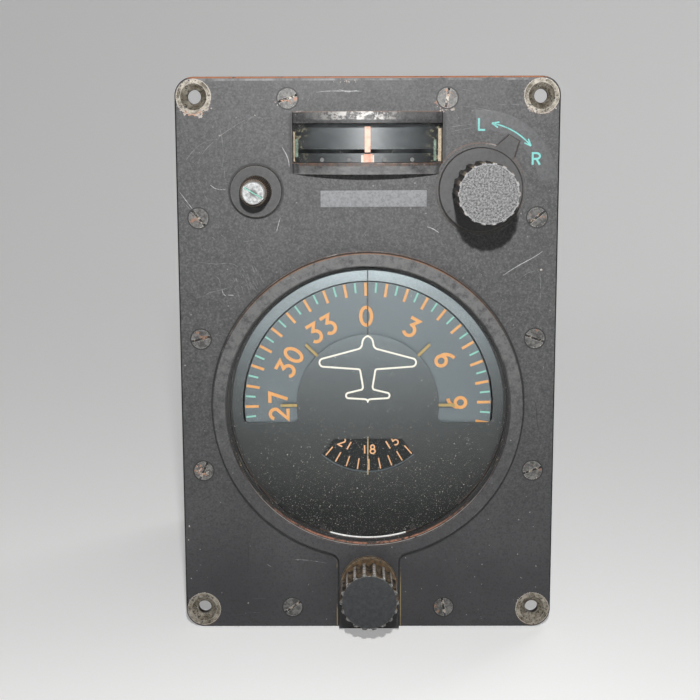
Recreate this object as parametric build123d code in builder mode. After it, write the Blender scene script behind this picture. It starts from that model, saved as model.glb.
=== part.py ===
"""Directional gyro for an aircraft autopilot, as an assembly of separate pieces.

Frame: the origin is the centre of the panel's back face, which is its mounting face.
X is to the right, Z is up and the dial faces -Y, so everything behind the panel has a positive y.
Millimetres and degrees throughout.
"""
import os
from math import acos, asin, cos, degrees, hypot, pi, radians, sin, sqrt, tan

from build123d import *

os.makedirs("parts", exist_ok=True)

# Front panel
panel_w = 133.35
panel_h = 198.4
panel_t = 5.0
panel_corner_r = 6.6
panel_edge_r = 0.6
face_y = -panel_t

# Bezel ring round the dial, and the strip that runs from it to the bottom edge
dial_z = -16.6
ring_r = 55.3
ring_h = 4.0
ring_edge_r = 0.5
strip_w = 21.8
strip_fillet_r = 3.5

# Glass in its bore, behind a split ring
bore_r = 50.4
bore_edge = 0.4
glass_t = 2.0
glass_gap = 0.1
glass_front = 1.4
gasket_t = 0.5
shoulder_r = 49.5
split_ring_section = 1.0
split_ring_inner_r = 49.9
split_ring_groove = 1.1
split_ring_gap = 6.0

# Mask plate, with the windows that show the card
mask_t = 0.8
mask_front = -1.8
mask_rim_gap = 0.9
mask_seat_r = 46.6
mask_window_r = 44.9
mask_hub_r = 25.6
mask_window_drop = 6.5
mask_corner_r = 2.0
tab_from = 19.8
tab_to = 42.9
tab_gap = 0.05
relief_w = 1.9
relief_depth = 1.6
scale_window_top = 12.4
scale_window_half_top = 12.3
scale_window_half_side = 16.9
scale_window_r = 25.0
index_r = (25.4, 31.3)
index_w = 0.95
index_h = 0.6
index_angles = (-90.0, -45.0, 45.0, 90.0)
wire_w = 0.45
wire_end = 49.0
wire_inner = 24.6
scale_wire = (11.6, 25.6)

# Azimuth card and its shaft
card_r = 44.3
card_t = 1.0
card_gap = 0.6
card_hub_r = 9.0
card_hub_t = 5.0
card_shaft_r = 3.0
running_gap = 0.05

# Screws and bushings in the panel
bushing_inset_x = 6.575
bushing_inset_z = 6.8
bushing_r = 6.1
bushing_hole_r = 2.4
bushing_sink_r = 4.6
screw_r = 1.75
screw_head_r = 3.5
screw_head_t = 1.75
screw_len = 10.5
screw_slot_w = 0.9
screw_slot_depth = 0.8
screw_inset_x = 7.475
screw_inset_z = 7.45
screw_row_x = 27.6
screw_column_z = (50.6, 7.75, -40.3)

# Curved window of the rudder indicator, between two lips
window_half = 26.1
hood_drop = 22.7
window_h = 13.6
lip_t = 3.85
lip_bulge = 7.5
window_bulge = 5.5
window_t = 1.2
window_gap = 0.1
scale_gap = 3.3
scale_t = 1.0
scale_slot_drop = 2.9
scale_slot_h = 1.4
scale_slot_half = 24.3
datum_w = 4.7
datum_h = 3.0
datum_t = 1.0
stud_r = 0.75
stud_x = (-15.8, -6.4, 5.9, 15.5)

# Rudder pointer and its moving-coil movement
pointer_vane_gap = 1.2
pointer_vane_w = 2.0
pointer_sheet_t = 0.6
pivot_r = 0.8
meter_plate_t = 2.0
meter_half = 16.0
meter_back = 12.0
magnet_inner_r = 9.5
magnet_leg = 10.0
coil_half = 7.0
coil_t = 5.0
coil_wall = 1.5

# Rudder trim knob, upper right
trim_x = 39.1
trim_z = 60.4
trim_boss_r = 16.0
trim_boss_h = 0.8
trim_plate_r = 15.2
trim_plate_t = 1.4
trim_tab_angle = 33.0
trim_tab_r = 20.9
trim_tab_tip = 1.95
trim_tab_root = 3.6
trim_skirt_r = 14.6
trim_skirt_t = 2.6
trim_neck_r = 8.0
trim_neck_h = 5.0
trim_knob_r = 10.2
trim_knob_top = 35.0
flute_count = 18
flute_r = 1.1
flute_depth = 0.8
control_gap = 0.15
control_shaft_r = 3.0
pot_bush_r = 5.0

# Adjuster, upper left
adjuster_x = -38.9
adjuster_z = 59.95
adjuster_flange_r = 9.2
adjuster_flange_t = 1.7
adjuster_flange_hole_r = 3.6
adjuster_base_r = 5.7
adjuster_tip_r = 4.7
adjuster_skirt_h = 10.0
adjuster_cap_r = 3.9
adjuster_cap_t = 2.2
adjuster_ribs = 48
adjuster_rib_depth = 0.35
adjuster_shaft_r = 2.0
adjuster_slot_w = 0.9
adjuster_slot_depth = 0.5
adjuster_slot_angle = -31.0
pot_r = 12.5
pot_len = 16.0
pot_wall = 1.5

# Caging knob, bottom
caging_x = 0.3
caging_z = -81.1
caging_travel = 6.0
caging_knob_r = 10.2
caging_knob_t = 12.5
caging_knob_top = 25.0
caging_neck_r = 5.0
caging_flange_r = 10.2
caging_flange_t = 2.0
caging_bush_r = 5.0
caging_bush_back = 4.0
caging_shaft_r = 2.5
sleeve_r = 4.0
sleeve_front = 19.0
sleeve_back = 68.0
sleeve_cap_t = 4.0

# Setting gears
gear_module = 1.0
gear_addendum = 0.8
gear_dedendum = 1.1
gear_tooth_share = 0.43
gear_flank = 20.0
card_teeth = 48
idler_teeth = 36
pinion_teeth = 10
gear_y = 14.0
gear_t = 4.0
pinion_t = 5.0
pinion_gap = 2.0
web_hole_at = 0.57
web_hole_share = 0.17
post_r = 2.5

# Bearing plate on its standoffs
plate_y = 22.0
plate_t = 3.0
plate_half_w = 46.0
plate_top = 40.0
plate_bottom = -86.0
plate_corner_r = 6.0
plate_hole_half = 30.0
standoff_r = 3.5
standoffs_at = ((-42.0, 31.0), (42.0, 31.0), (-41.0, -72.0), (41.0, -72.0))
guide_r = 6.0
guide_len = 18.0
bearing_r = 7.0
bearing_t = 4.0
bearing_ring_t = 1.3
bearing_groove = 0.5

# Gyro: outer gimbal about Z, inner gimbal about X, rotor about Y at rest
gimbal_y = 110.0
bevel_teeth = 24
bevel_face_share = 0.6
bevel_hub_r = 8.0
bevel_hub_t = 3.0
gimbal_bar_t = 6.0
gimbal_depth = 14.0
gimbal_inner_half = 34.0
gimbal_room = 65.6
gimbal_side_t = 6.0
gimbal_corner_r = 8.0
trunnion_r = 4.0
trunnion_bore_r = 1.8
trunnion_up = 9.5
case_r = 26.0
case_wall = 2.4
case_half = 18.0
case_foot = 2.0
case_foot_r = 4.0
inner_pivot_r = 2.0
rotor_r = 22.4
rotor_half = 12.5
rotor_web_t = 8.0
rotor_rim_t = 6.0
rotor_shaft_r = 2.2
ring_bearing_r = 5.2

# Brackets that carry the outer gimbal
lower_plate_z = -38.0
lower_plate_t = 5.0
upper_plate_z = 81.0
upper_plate_t = 4.5
bracket_half_depth = 15.0
bracket_lug_t = 3.0
bracket_lug_h = 12.0
rear_card_bearing_y = 87.0

# Caging lever and pin
lever_z = -50.0
lever_w = 6.0
lever_t = 4.0
lever_pin_r = 1.5
lever_roller_r = 3.0
lever_gap = 0.3
lever_lug_t = 3.0
lever_side_gap = 0.4
caging_pin_r = 1.5
slip_ring_r = 6.0
slip_ring_t = 1.2
slip_rings = 3

# Housing, cover and connector
case_rim_x = 7.0
case_rim_z = 6.0
case_t = 2.5
case_back = 158.0
case_edge_r = 9.0
flange_margin_x = 3.675
flange_margin_z = 2.7
flange_t = 6.0
flange_corner_r = 4.0
corner_relief_r = 9.0
seal_t = 0.8
rib_t = 2.0
rib_w = 3.0
rib_count = 4
cover_t = 2.5
cover_depth = 9.0
cover_margin = 13.0
cover_edge_r = 2.0
cover_boss_r = 4.5
cover_boss_len = 12.0
cover_screw_r = 1.4
cover_screw_head_r = 2.9
cover_screw_head_t = 2.0
cover_screw_len = 9.0
cover_screw_inset = 6.5
cover_side_inset = 5.5
plug_z = -46.0
plug_insert_t = 4.0
plug_edge_r = 3.0
plug_flange = 35.0
plug_flange_t = 2.6
plug_r = 13.2
plug_len = 15.0
plug_wall = 1.8
plug_screw_at = 13.5
plug_pin_r = 0.8
plug_pin_len = 8.0
plug_ring_r = 7.0
plug_pins = 8


def front_plane(y, x=0.0, z=0.0):
    """Sketch plane at depth y that faces the viewer: its x is X and its y is Z."""
    return Plane(origin=(x, y, z), x_dir=(1, 0, 0), z_dir=(0, -1, 0))


def back_plane(y, x=0.0, z=0.0):
    """Sketch plane at depth y that faces away from the viewer: its x is -X and its y is Z."""
    return Plane(origin=(x, y, z), x_dir=(-1, 0, 0), z_dir=(0, 1, 0))


def polar(radius, angle, centre=(0.0, 0.0)):
    """Point at an angle counted anticlockwise from the sketch plane's x."""
    return centre[0] + radius * cos(radians(angle)), centre[1] + radius * sin(radians(angle))


def arc_radius(half_chord, rise):
    """Radius of the arc that rises by `rise` over a chord of twice half_chord."""
    return (half_chord ** 2 + rise ** 2) / (2 * rise)


def tooth_outline(teeth, module, phase, scale=1.0):
    """Closed outline of a straight-flanked gear whose first tooth points at angle `phase`."""
    pitch_r = module * teeth / 2
    tip_r = pitch_r + gear_addendum * module
    root_r = pitch_r - gear_dedendum * module
    half = gear_tooth_share * pi * module / 2
    slope = tan(radians(gear_flank))
    tip_half = degrees((half - gear_addendum * module * slope) / tip_r)
    root_half = degrees((half + gear_dedendum * module * slope) / root_r)
    points = []
    for tooth in range(teeth):
        centre = phase + tooth * 360 / teeth
        points.append(polar(root_r * scale, centre - root_half))
        points.append(polar(tip_r * scale, centre - tip_half))
        points.append(polar(tip_r * scale, centre + tip_half))
        points.append(polar(root_r * scale, centre + root_half))
    return points


def rib_outline(count, outer_r, depth):
    """Closed zigzag outline of a knurled edge, with `count` ribs."""
    points = []
    for rib in range(count):
        points.append(polar(outer_r, rib * 360 / count))
        points.append(polar(outer_r - depth, (rib + 0.5) * 360 / count))
    return points


def ring(plane, outer_r, inner_r):
    """Flat ring drawn in a plane."""
    with BuildSketch(plane) as drawn:
        Circle(outer_r)
        Circle(inner_r, mode=Mode.SUBTRACT)
    return drawn.sketch


def bearing(plane, inner_r, outer_r, width):
    """Shielded ball bearing that stands on a plane, with a groove between its rings on both faces."""
    with BuildPart() as made:
        extrude(ring(plane, outer_r, inner_r + running_gap), amount=width)
        for depth in (0, width - bearing_groove):
            extrude(ring(plane.offset(depth), outer_r - bearing_ring_t, inner_r + bearing_ring_t),
                    amount=bearing_groove, mode=Mode.SUBTRACT)
    return made.part


def fluted_knob(back, front, radius, x, z):
    """Round knob between two depths, with shallow flutes cut along its side."""
    with BuildPart() as made:
        with BuildSketch(front_plane(back, x, z)):
            Circle(radius)
            with PolarLocations(radius + flute_r - flute_depth, flute_count, start_angle=180 / flute_count):
                Circle(flute_r, mode=Mode.SUBTRACT)
        extrude(amount=back - front)
    return made.part


def save(piece, name):
    """Label a finished piece and write it under its own name."""
    piece.part.label = name
    export_step(piece.part, f"parts/{name}.step")


# Levels along Y that follow from the values above; heights in front of the panel count from face_y
ring_front_y = face_y - ring_h
glass_front_y = face_y - glass_front
glass_back_y = glass_front_y + glass_t
shoulder_y = glass_back_y + gasket_t
mask_front_y = face_y - mask_front
mask_back_y = mask_front_y + mask_t
card_front_y = mask_back_y + card_gap
card_back_y = card_front_y + card_t
window_r = arc_radius(window_half, window_bulge)
meter_y = face_y - window_bulge + window_r
scale_r = window_r - window_t - scale_gap
window_mid_z = panel_h / 2 - hood_drop
lip_low = (window_mid_z - window_h / 2 - lip_t, window_mid_z - window_h / 2)
lip_high = (window_mid_z + window_h / 2, window_mid_z + window_h / 2 + lip_t)
scale_slot_z = window_mid_z - scale_slot_drop
bushing_x = panel_w / 2 - bushing_inset_x
bushing_z = panel_h / 2 - bushing_inset_z
screw_x = panel_w / 2 - screw_inset_x
screw_z = panel_h / 2 - screw_inset_z
panel_screws_at = (
    (-screw_row_x, screw_z, 20), (screw_row_x, screw_z, 80),
    (-screw_row_x, -screw_z, 35), (screw_row_x, -screw_z, 100),
    (-screw_x, screw_column_z[0], 130), (screw_x, screw_column_z[0], 38),
    (-screw_x, screw_column_z[1], 15), (screw_x, screw_column_z[1], 160),
    (-screw_x, screw_column_z[2], 65), (screw_x, screw_column_z[2], 20),
)
body_y = seal_t
flange_w = panel_w - 2 * flange_margin_x
flange_h = panel_h - 2 * flange_margin_z
case_w = flange_w - 2 * case_rim_x
case_h = flange_h - 2 * case_rim_z
cover_screw_x = case_w / 2 - cover_screw_inset
cover_screw_z = case_h / 2 - cover_screw_inset
cover_side_x = case_w / 2 - cover_side_inset
cover_screws_at = (
    (-cover_screw_x, cover_screw_z), (cover_screw_x, cover_screw_z),
    (-cover_screw_x, -cover_screw_z), (cover_screw_x, -cover_screw_z),
    (-cover_side_x, 0.0), (cover_side_x, 0.0),
)
case_inner_w = case_w - 2 * case_t
case_inner_h = case_h - 2 * case_t
wall_corner_r = case_edge_r - case_t

# Gear places: the idler stands on the corner of a triangle with the card and the caging knob
card_pitch_r = gear_module * card_teeth / 2
idler_pitch_r = gear_module * idler_teeth / 2
pinion_pitch_r = gear_module * pinion_teeth / 2
card_to_idler = card_pitch_r + idler_pitch_r
idler_to_pinion = idler_pitch_r + pinion_pitch_r
card_to_pinion = hypot(caging_x, caging_z - dial_z)
card_corner = degrees(acos((card_to_idler ** 2 + card_to_pinion ** 2 - idler_to_pinion ** 2)
                           / (2 * card_to_idler * card_to_pinion)))
idler_corner = degrees(acos((card_to_idler ** 2 + idler_to_pinion ** 2 - card_to_pinion ** 2)
                            / (2 * card_to_idler * idler_to_pinion)))
toward_pinion = -degrees(asin((dial_z - caging_z) / card_to_pinion))
idler_direction = toward_pinion + card_corner
idler_x, idler_z = polar(card_to_idler, idler_direction, (0.0, dial_z))
pinion_direction = idler_direction + idler_corner - 180
idler_phase = idler_direction + 180 + 180 / idler_teeth
mesh_arc = ((pinion_direction - idler_phase) % (360 / idler_teeth)) * idler_pitch_r
pinion_phase = pinion_direction + 180 + mesh_arc / pinion_pitch_r + 180 / pinion_teeth

# Bevel pair: both pitch cones meet at the point where the card's axis crosses the gimbal's
bevel_r = gear_module * bevel_teeth / 2
bevel_small = bevel_r * bevel_face_share
card_bevel_y = gimbal_y - bevel_r
gimbal_bevel_z = dial_z + bevel_r
gimbal_foot_z = gimbal_bevel_z + bevel_hub_t
gimbal_floor_z = gimbal_foot_z + gimbal_bar_t
gimbal_mid_z = gimbal_floor_z + gimbal_room / 2
gimbal_head_z = gimbal_floor_z + gimbal_room + gimbal_bar_t
trunnion_down_z = lower_plate_z - 1.0

# Caging linkage: the sleeve pushes the lever's roller, and the lever lifts the pin
lever_y = sleeve_back + lever_gap + lever_roller_r
lever_down = lever_z - caging_z
lever_back = gimbal_y - lever_y
lever_swing = caging_travel / lever_down
caging_pin_lift = lever_back * lever_swing
caging_pin_top = gimbal_mid_z - case_r - case_foot - caging_pin_lift - lever_gap
caging_pin_foot = lever_z + lever_t / 2 + lever_gap

# Front panel: plate, bezel ring with its strip, window lips, boss under the trim knob and all openings
with BuildPart() as front_panel:
    with BuildSketch(front_plane(0)):
        RectangleRounded(panel_w, panel_h, panel_corner_r)
    extrude(amount=panel_t)
    fillet(front_panel.faces().sort_by(Axis.Y)[0].edges(), panel_edge_r)
    with BuildSketch(front_plane(face_y)) as raised:
        with Locations((0, dial_z)):
            Circle(ring_r)
        strip_bottom = -panel_h / 2 + panel_edge_r
        with Locations((caging_x, (strip_bottom + dial_z) / 2)):
            Rectangle(strip_w, dial_z - strip_bottom)
        corners = raised.vertices().filter_by(lambda v: strip_bottom + 1 < v.Y < dial_z - strip_w)
        fillet(corners, strip_fillet_r)
    extrude(amount=ring_h)
    fillet(front_panel.faces().sort_by(Axis.Y)[0].edges(), ring_edge_r)
    for low, high in (lip_low, lip_high):
        with BuildSketch(Plane.XY.offset(low)):
            with BuildLine():
                ThreePointArc((-window_half, face_y), (0, face_y - lip_bulge), (window_half, face_y))
                Polyline((window_half, face_y), (window_half, 0), (-window_half, 0), (-window_half, face_y))
            make_face()
        extrude(amount=high - low)
    with BuildSketch(front_plane(0, trim_x, trim_z)):
        Circle(trim_boss_r)
    extrude(amount=panel_t + trim_boss_h)
    with BuildSketch(front_plane(0, 0, dial_z)):
        Circle(mask_seat_r)
    extrude(amount=panel_t + ring_h, mode=Mode.SUBTRACT)
    for depth, radius in ((mask_back_y, shoulder_r), (shoulder_y, bore_r)):
        with BuildSketch(front_plane(depth, 0, dial_z)):
            Circle(radius)
        extrude(amount=depth - ring_front_y, mode=Mode.SUBTRACT)
    with BuildSketch(front_plane(glass_front_y, 0, dial_z)):
        Circle(split_ring_inner_r + split_ring_section + split_ring_groove)
    extrude(amount=split_ring_groove, mode=Mode.SUBTRACT)
    lip_edge = front_panel.edges().filter_by(GeomType.CIRCLE).filter_by(
        lambda e: abs(e.radius - bore_r) < 1e-6).sort_by(Axis.Y)[0]
    chamfer(lip_edge, bore_edge)
    with BuildSketch(front_plane(0)):
        with Locations((0, window_mid_z)):
            Rectangle(2 * window_half, window_h)
    extrude(amount=panel_t, mode=Mode.SUBTRACT)
    with BuildSketch(front_plane(0)):
        with GridLocations(2 * bushing_x, 2 * bushing_z, 2, 2):
            Circle(bushing_r)
        with Locations((trim_x, trim_z), (adjuster_x, adjuster_z)):
            Circle(pot_bush_r)
        with Locations((caging_x, caging_z)):
            Circle(caging_bush_r)
    extrude(amount=panel_t + ring_h, mode=Mode.SUBTRACT)
    with Locations(*[front_plane(face_y, x, z).location for x, z, _ in panel_screws_at]):
        CounterSinkHole(screw_r + running_gap, screw_head_r, depth=panel_t, counter_sink_angle=90)
save(front_panel, "front_panel")

# Bare bushings in the four corners
with BuildPart() as corner_bushings:
    with BuildSketch(front_plane(0)):
        with GridLocations(2 * bushing_x, 2 * bushing_z, 2, 2):
            Circle(bushing_r)
    extrude(amount=panel_t)
    corner_places = [front_plane(face_y, x, z).location
                     for x in (-bushing_x, bushing_x) for z in (-bushing_z, bushing_z)]
    with Locations(*corner_places):
        CounterSinkHole(bushing_hole_r, bushing_sink_r, depth=panel_t, counter_sink_angle=90)
save(corner_bushings, "corner_bushings")

# Flat-head screws that hold the panel to the housing, their slots at the angles they stopped at
with BuildPart() as panel_screws:
    for x, z, _ in panel_screws_at:
        with BuildSketch(front_plane(face_y + screw_len, x, z)):
            Circle(screw_r)
        extrude(amount=screw_len)
        with BuildSketch(front_plane(face_y + screw_head_t, x, z)):
            Circle(screw_r)
        with BuildSketch(front_plane(face_y, x, z)):
            Circle(screw_head_r)
        loft()
    for x, z, slot_angle in panel_screws_at:
        with BuildSketch(front_plane(face_y + screw_slot_depth, x, z)):
            Rectangle(2 * screw_head_r, screw_slot_w, rotation=slot_angle)
        extrude(amount=screw_slot_depth, mode=Mode.SUBTRACT)
save(panel_screws, "panel_screws")

# Dial glass, the soft ring behind it and the split ring that holds it in its bore
with BuildPart() as dial_glass:
    with BuildSketch(front_plane(glass_back_y, 0, dial_z)):
        Circle(bore_r - glass_gap)
    extrude(amount=glass_t)
    chamfer(dial_glass.faces().sort_by(Axis.Y)[0].edges(), bore_edge)
save(dial_glass, "dial_glass")

with BuildPart() as glass_gasket:
    with BuildSketch(front_plane(shoulder_y, 0, dial_z)):
        Circle(bore_r)
        Circle(shoulder_r, mode=Mode.SUBTRACT)
    extrude(amount=gasket_t)
save(glass_gasket, "glass_gasket")

with BuildPart() as glass_retaining_ring:
    with BuildSketch(front_plane(glass_front_y, 0, dial_z)):
        Circle(split_ring_inner_r + split_ring_section + split_ring_groove - glass_gap)
        Circle(split_ring_inner_r, mode=Mode.SUBTRACT)
        with Locations((0, ring_r)):
            Rectangle(split_ring_gap, ring_r, mode=Mode.SUBTRACT)
    extrude(amount=split_ring_section)
save(glass_retaining_ring, "glass_retaining_ring")

# Mask plate: a disc with two wide side tabs, the dial window, the scale window and four reliefs
with BuildPart() as mask_plate:
    with BuildSketch(front_plane(mask_back_y, 0, dial_z)):
        Circle(shoulder_r - mask_rim_gap)
        for side in (-1, 1):
            edge_angles = [-90 + side * tab_from, -90 + side * tab_to]
            tab_mid = sum(edge_angles) / 2
            with BuildLine():
                rim = ThreePointArc(*[polar(shoulder_r - tab_gap, angle)
                                      for angle in (edge_angles[0], tab_mid, edge_angles[1])])
                Polyline(rim @ 1, (0, 0), rim @ 0)
            make_face()
            for angle in edge_angles:
                with Locations(Location((*polar(shoulder_r, angle), 0), (0, 0, 1), angle)):
                    Rectangle(2 * relief_depth + mask_rim_gap, relief_w, mode=Mode.SUBTRACT)
        with BuildSketch(mode=Mode.SUBTRACT) as dial_window:
            Circle(mask_window_r)
            Circle(mask_hub_r, mode=Mode.SUBTRACT)
            with Locations((0, -mask_window_drop - ring_r)):
                Rectangle(4 * ring_r, 2 * ring_r, mode=Mode.SUBTRACT)
            fillet(dial_window.vertices().group_by(Axis.Y)[0], mask_corner_r)
        with BuildSketch(mode=Mode.SUBTRACT) as scale_window:
            with BuildLine():
                side_foot = -sqrt(scale_window_r ** 2 - scale_window_half_side ** 2)
                Polyline((scale_window_half_side, side_foot), (scale_window_half_top, -scale_window_top),
                         (-scale_window_half_top, -scale_window_top), (-scale_window_half_side, side_foot))
                ThreePointArc((-scale_window_half_side, side_foot), (0, -scale_window_r),
                              (scale_window_half_side, side_foot))
            make_face()
    extrude(amount=mask_t)
save(mask_plate, "mask_plate")

# Raised index bars on the mask plate, and the fine wires that mark the heading
with BuildPart() as index_bars:
    with BuildSketch(front_plane(mask_front_y, 0, dial_z)):
        for angle in index_angles:
            middle = (index_r[0] + index_r[1]) / 2
            with Locations(Location((*polar(middle, 90 - angle), 0), (0, 0, 1), 90 - angle)):
                Rectangle(index_r[1] - index_r[0], index_w)
    extrude(amount=index_h)
save(index_bars, "index_bars")

with BuildPart() as lubber_wires:
    with BuildSketch(front_plane(mask_front_y, 0, dial_z)):
        with Locations((0, (wire_end + wire_inner) / 2)):
            Rectangle(wire_w, wire_end - wire_inner)
        with Locations((0, -(scale_wire[0] + scale_wire[1]) / 2)):
            Rectangle(wire_w, scale_wire[1] - scale_wire[0])
    extrude(amount=wire_w)
save(lubber_wires, "lubber_wires")

# Azimuth card, with the shaft that carries it back to its bevel gear
with BuildPart() as azimuth_card:
    with BuildSketch(front_plane(card_back_y, 0, dial_z)):
        Circle(card_r)
    extrude(amount=card_t)
save(azimuth_card, "azimuth_card")

with BuildPart() as card_shaft:
    with BuildSketch(front_plane(card_back_y + card_hub_t, 0, dial_z)):
        Circle(card_hub_r)
    extrude(amount=card_hub_t)
    with BuildSketch(front_plane(card_bevel_y, 0, dial_z)):
        Circle(card_shaft_r)
    extrude(amount=card_bevel_y - card_back_y)
save(card_shaft, "card_shaft")

# Spur gears of the setting train: on the card's shaft, on the idler's post and on the caging shaft
with BuildPart() as card_gear:
    with BuildSketch(front_plane(gear_y + gear_t, 0, dial_z)):
        Polygon(*tooth_outline(card_teeth, gear_module, idler_direction), align=None)
        Circle(card_shaft_r, mode=Mode.SUBTRACT)
        with PolarLocations(card_pitch_r * web_hole_at, 6):
            Circle(card_pitch_r * web_hole_share, mode=Mode.SUBTRACT)
    extrude(amount=gear_t)
save(card_gear, "card_gear")

with BuildPart() as idler_gear:
    with BuildSketch(front_plane(gear_y + gear_t, idler_x, idler_z)):
        Polygon(*tooth_outline(idler_teeth, gear_module, idler_phase), align=None)
        Circle(post_r + running_gap, mode=Mode.SUBTRACT)
        with PolarLocations(idler_pitch_r * web_hole_at, 5):
            Circle(idler_pitch_r * web_hole_share, mode=Mode.SUBTRACT)
    extrude(amount=gear_t)
save(idler_gear, "idler_gear")

# Bevel gears: each is a loft from its large end to its small end, toward the common apex
with BuildPart() as card_bevel_gear:
    for radius in (bevel_r, bevel_small):
        with BuildSketch(front_plane(gimbal_y - radius, 0, dial_z)):
            Polygon(*tooth_outline(bevel_teeth, gear_module, 90, radius / bevel_r), align=None)
    loft(ruled=True)
    with BuildSketch(front_plane(card_bevel_y, 0, dial_z)):
        Circle(bevel_hub_r)
    extrude(amount=bevel_hub_t)
    with BuildSketch(front_plane(gimbal_y - bevel_small, 0, dial_z)):
        Circle(card_shaft_r)
    extrude(amount=bevel_r - bevel_small + bevel_hub_t, mode=Mode.SUBTRACT)
save(card_bevel_gear, "card_bevel_gear")

with BuildPart() as gimbal_bevel_gear:
    for radius in (bevel_small, bevel_r):
        with BuildSketch(Plane((0, gimbal_y, dial_z + radius))):
            Polygon(*tooth_outline(bevel_teeth, gear_module, -90 + 180 / bevel_teeth, radius / bevel_r),
                    align=None)
    loft(ruled=True)
    with BuildSketch(Plane((0, gimbal_y, gimbal_bevel_z))):
        Circle(bevel_hub_r)
    extrude(amount=bevel_hub_t)
    with BuildSketch(Plane((0, gimbal_y, dial_z))):
        Circle(trunnion_r)
    extrude(amount=gimbal_foot_z - dial_z, mode=Mode.SUBTRACT)
save(gimbal_bevel_gear, "gimbal_bevel_gear")


# Bearings of the card's shaft: one in the bearing plate, one in the lower bracket
with BuildPart() as card_bearings:
    for back in (plate_y + bearing_t, rear_card_bearing_y + bearing_t):
        add(bearing(front_plane(back, 0, dial_z), card_shaft_r, bearing_r, bearing_t))
save(card_bearings, "card_bearings")

# Bearing plate: flat casting with the card's bearing seat, the idler's post and the sleeve's guide
with BuildPart() as bearing_plate:
    with BuildSketch(front_plane(plate_y + plate_t)):
        with Locations((0, (plate_top + plate_bottom) / 2)):
            RectangleRounded(2 * plate_half_w, plate_top - plate_bottom, plate_corner_r)
        for side in (-1, 1):
            with Locations((side * plate_hole_half, dial_z - plate_hole_half / 2)):
                RectangleRounded(plate_half_w / 2, 2 * plate_hole_half, plate_corner_r, mode=Mode.SUBTRACT)
    extrude(amount=plate_t)
    with BuildSketch(front_plane(plate_y + bearing_t, 0, dial_z)):
        Circle(bearing_r + bearing_ring_t)
    extrude(amount=bearing_t)
    with BuildSketch(front_plane(plate_y + guide_len, caging_x, caging_z)):
        Circle(guide_r - running_gap)
    extrude(amount=guide_len)
    with BuildSketch(front_plane(plate_y, idler_x, idler_z)):
        Circle(post_r)
    extrude(amount=plate_y - gear_y + pinion_gap)
    with BuildSketch(front_plane(plate_y, idler_x, idler_z)):
        Circle(post_r * 2)
    extrude(amount=plate_y - gear_y - gear_t - pinion_gap / 10)
    with BuildSketch(front_plane(plate_y + bearing_t, 0, dial_z)):
        Circle(bearing_r)
    extrude(amount=bearing_t, mode=Mode.SUBTRACT)
    with BuildSketch(front_plane(plate_y + guide_len, caging_x, caging_z)):
        Circle(sleeve_r + running_gap)
    extrude(amount=guide_len, mode=Mode.SUBTRACT)
save(bearing_plate, "bearing_plate")

with BuildPart() as standoffs:
    with BuildSketch(front_plane(plate_y)):
        with Locations(*standoffs_at):
            RegularPolygon(standoff_r, 6)
    extrude(amount=plate_y)
save(standoffs, "standoffs")

# Curved window, and the curved scale behind it with its slot, its fixed mark and its studs
with BuildPart() as window_glass:
    glass_half = window_half - window_gap
    reach = degrees(asin(glass_half / window_r))
    with BuildSketch(Plane.XY.offset(lip_low[1] + window_gap)):
        with BuildLine():
            outer = CenterArc((0, meter_y), window_r - window_gap, 270 - reach, 2 * reach)
            inner = CenterArc((0, meter_y), window_r - window_t, 270 - reach, 2 * reach)
            Line(outer @ 0, inner @ 0)
            Line(outer @ 1, inner @ 1)
        make_face()
    extrude(amount=window_h - 2 * window_gap)
save(window_glass, "window_glass")

with BuildPart() as window_scale:
    reach = degrees(asin(glass_half / scale_r))
    with BuildSketch(Plane.XY.offset(lip_low[1] + window_gap)):
        with BuildLine():
            outer = CenterArc((0, meter_y), scale_r, 270 - reach, 2 * reach)
            inner = CenterArc((0, meter_y), scale_r - scale_t, 270 - reach, 2 * reach)
            Line(outer @ 0, inner @ 0)
            Line(outer @ 1, inner @ 1)
        make_face()
    extrude(amount=window_h - 2 * window_gap)
    with BuildSketch(front_plane(meter_y)):
        with Locations((0, scale_slot_z)):
            Rectangle(2 * scale_slot_half, scale_slot_h)
    extrude(amount=2 * scale_r, mode=Mode.SUBTRACT)
    datum_low = lip_low[1] + window_gap
    datum_top = scale_slot_z - scale_slot_h / 2 - control_gap
    with BuildSketch(front_plane(meter_y - scale_r + scale_t / 2)):
        with BuildLine():
            sides = Polyline((datum_w / 2, (datum_low + datum_top) / 2), (datum_w / 2, datum_low),
                             (-datum_w / 2, datum_low), (-datum_w / 2, (datum_low + datum_top) / 2))
            ThreePointArc(sides @ 1, (0, datum_top), sides @ 0)
        make_face()
    extrude(amount=datum_t + scale_t / 2)
    for x in stud_x:
        stud_y = meter_y - sqrt(scale_r ** 2 - x ** 2)
        with BuildSketch(front_plane(stud_y + scale_t / 2, x, datum_low + stud_r + control_gap)):
            Circle(stud_r)
        extrude(amount=scale_t / 2 + stud_r)
save(window_scale, "window_scale")

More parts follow.
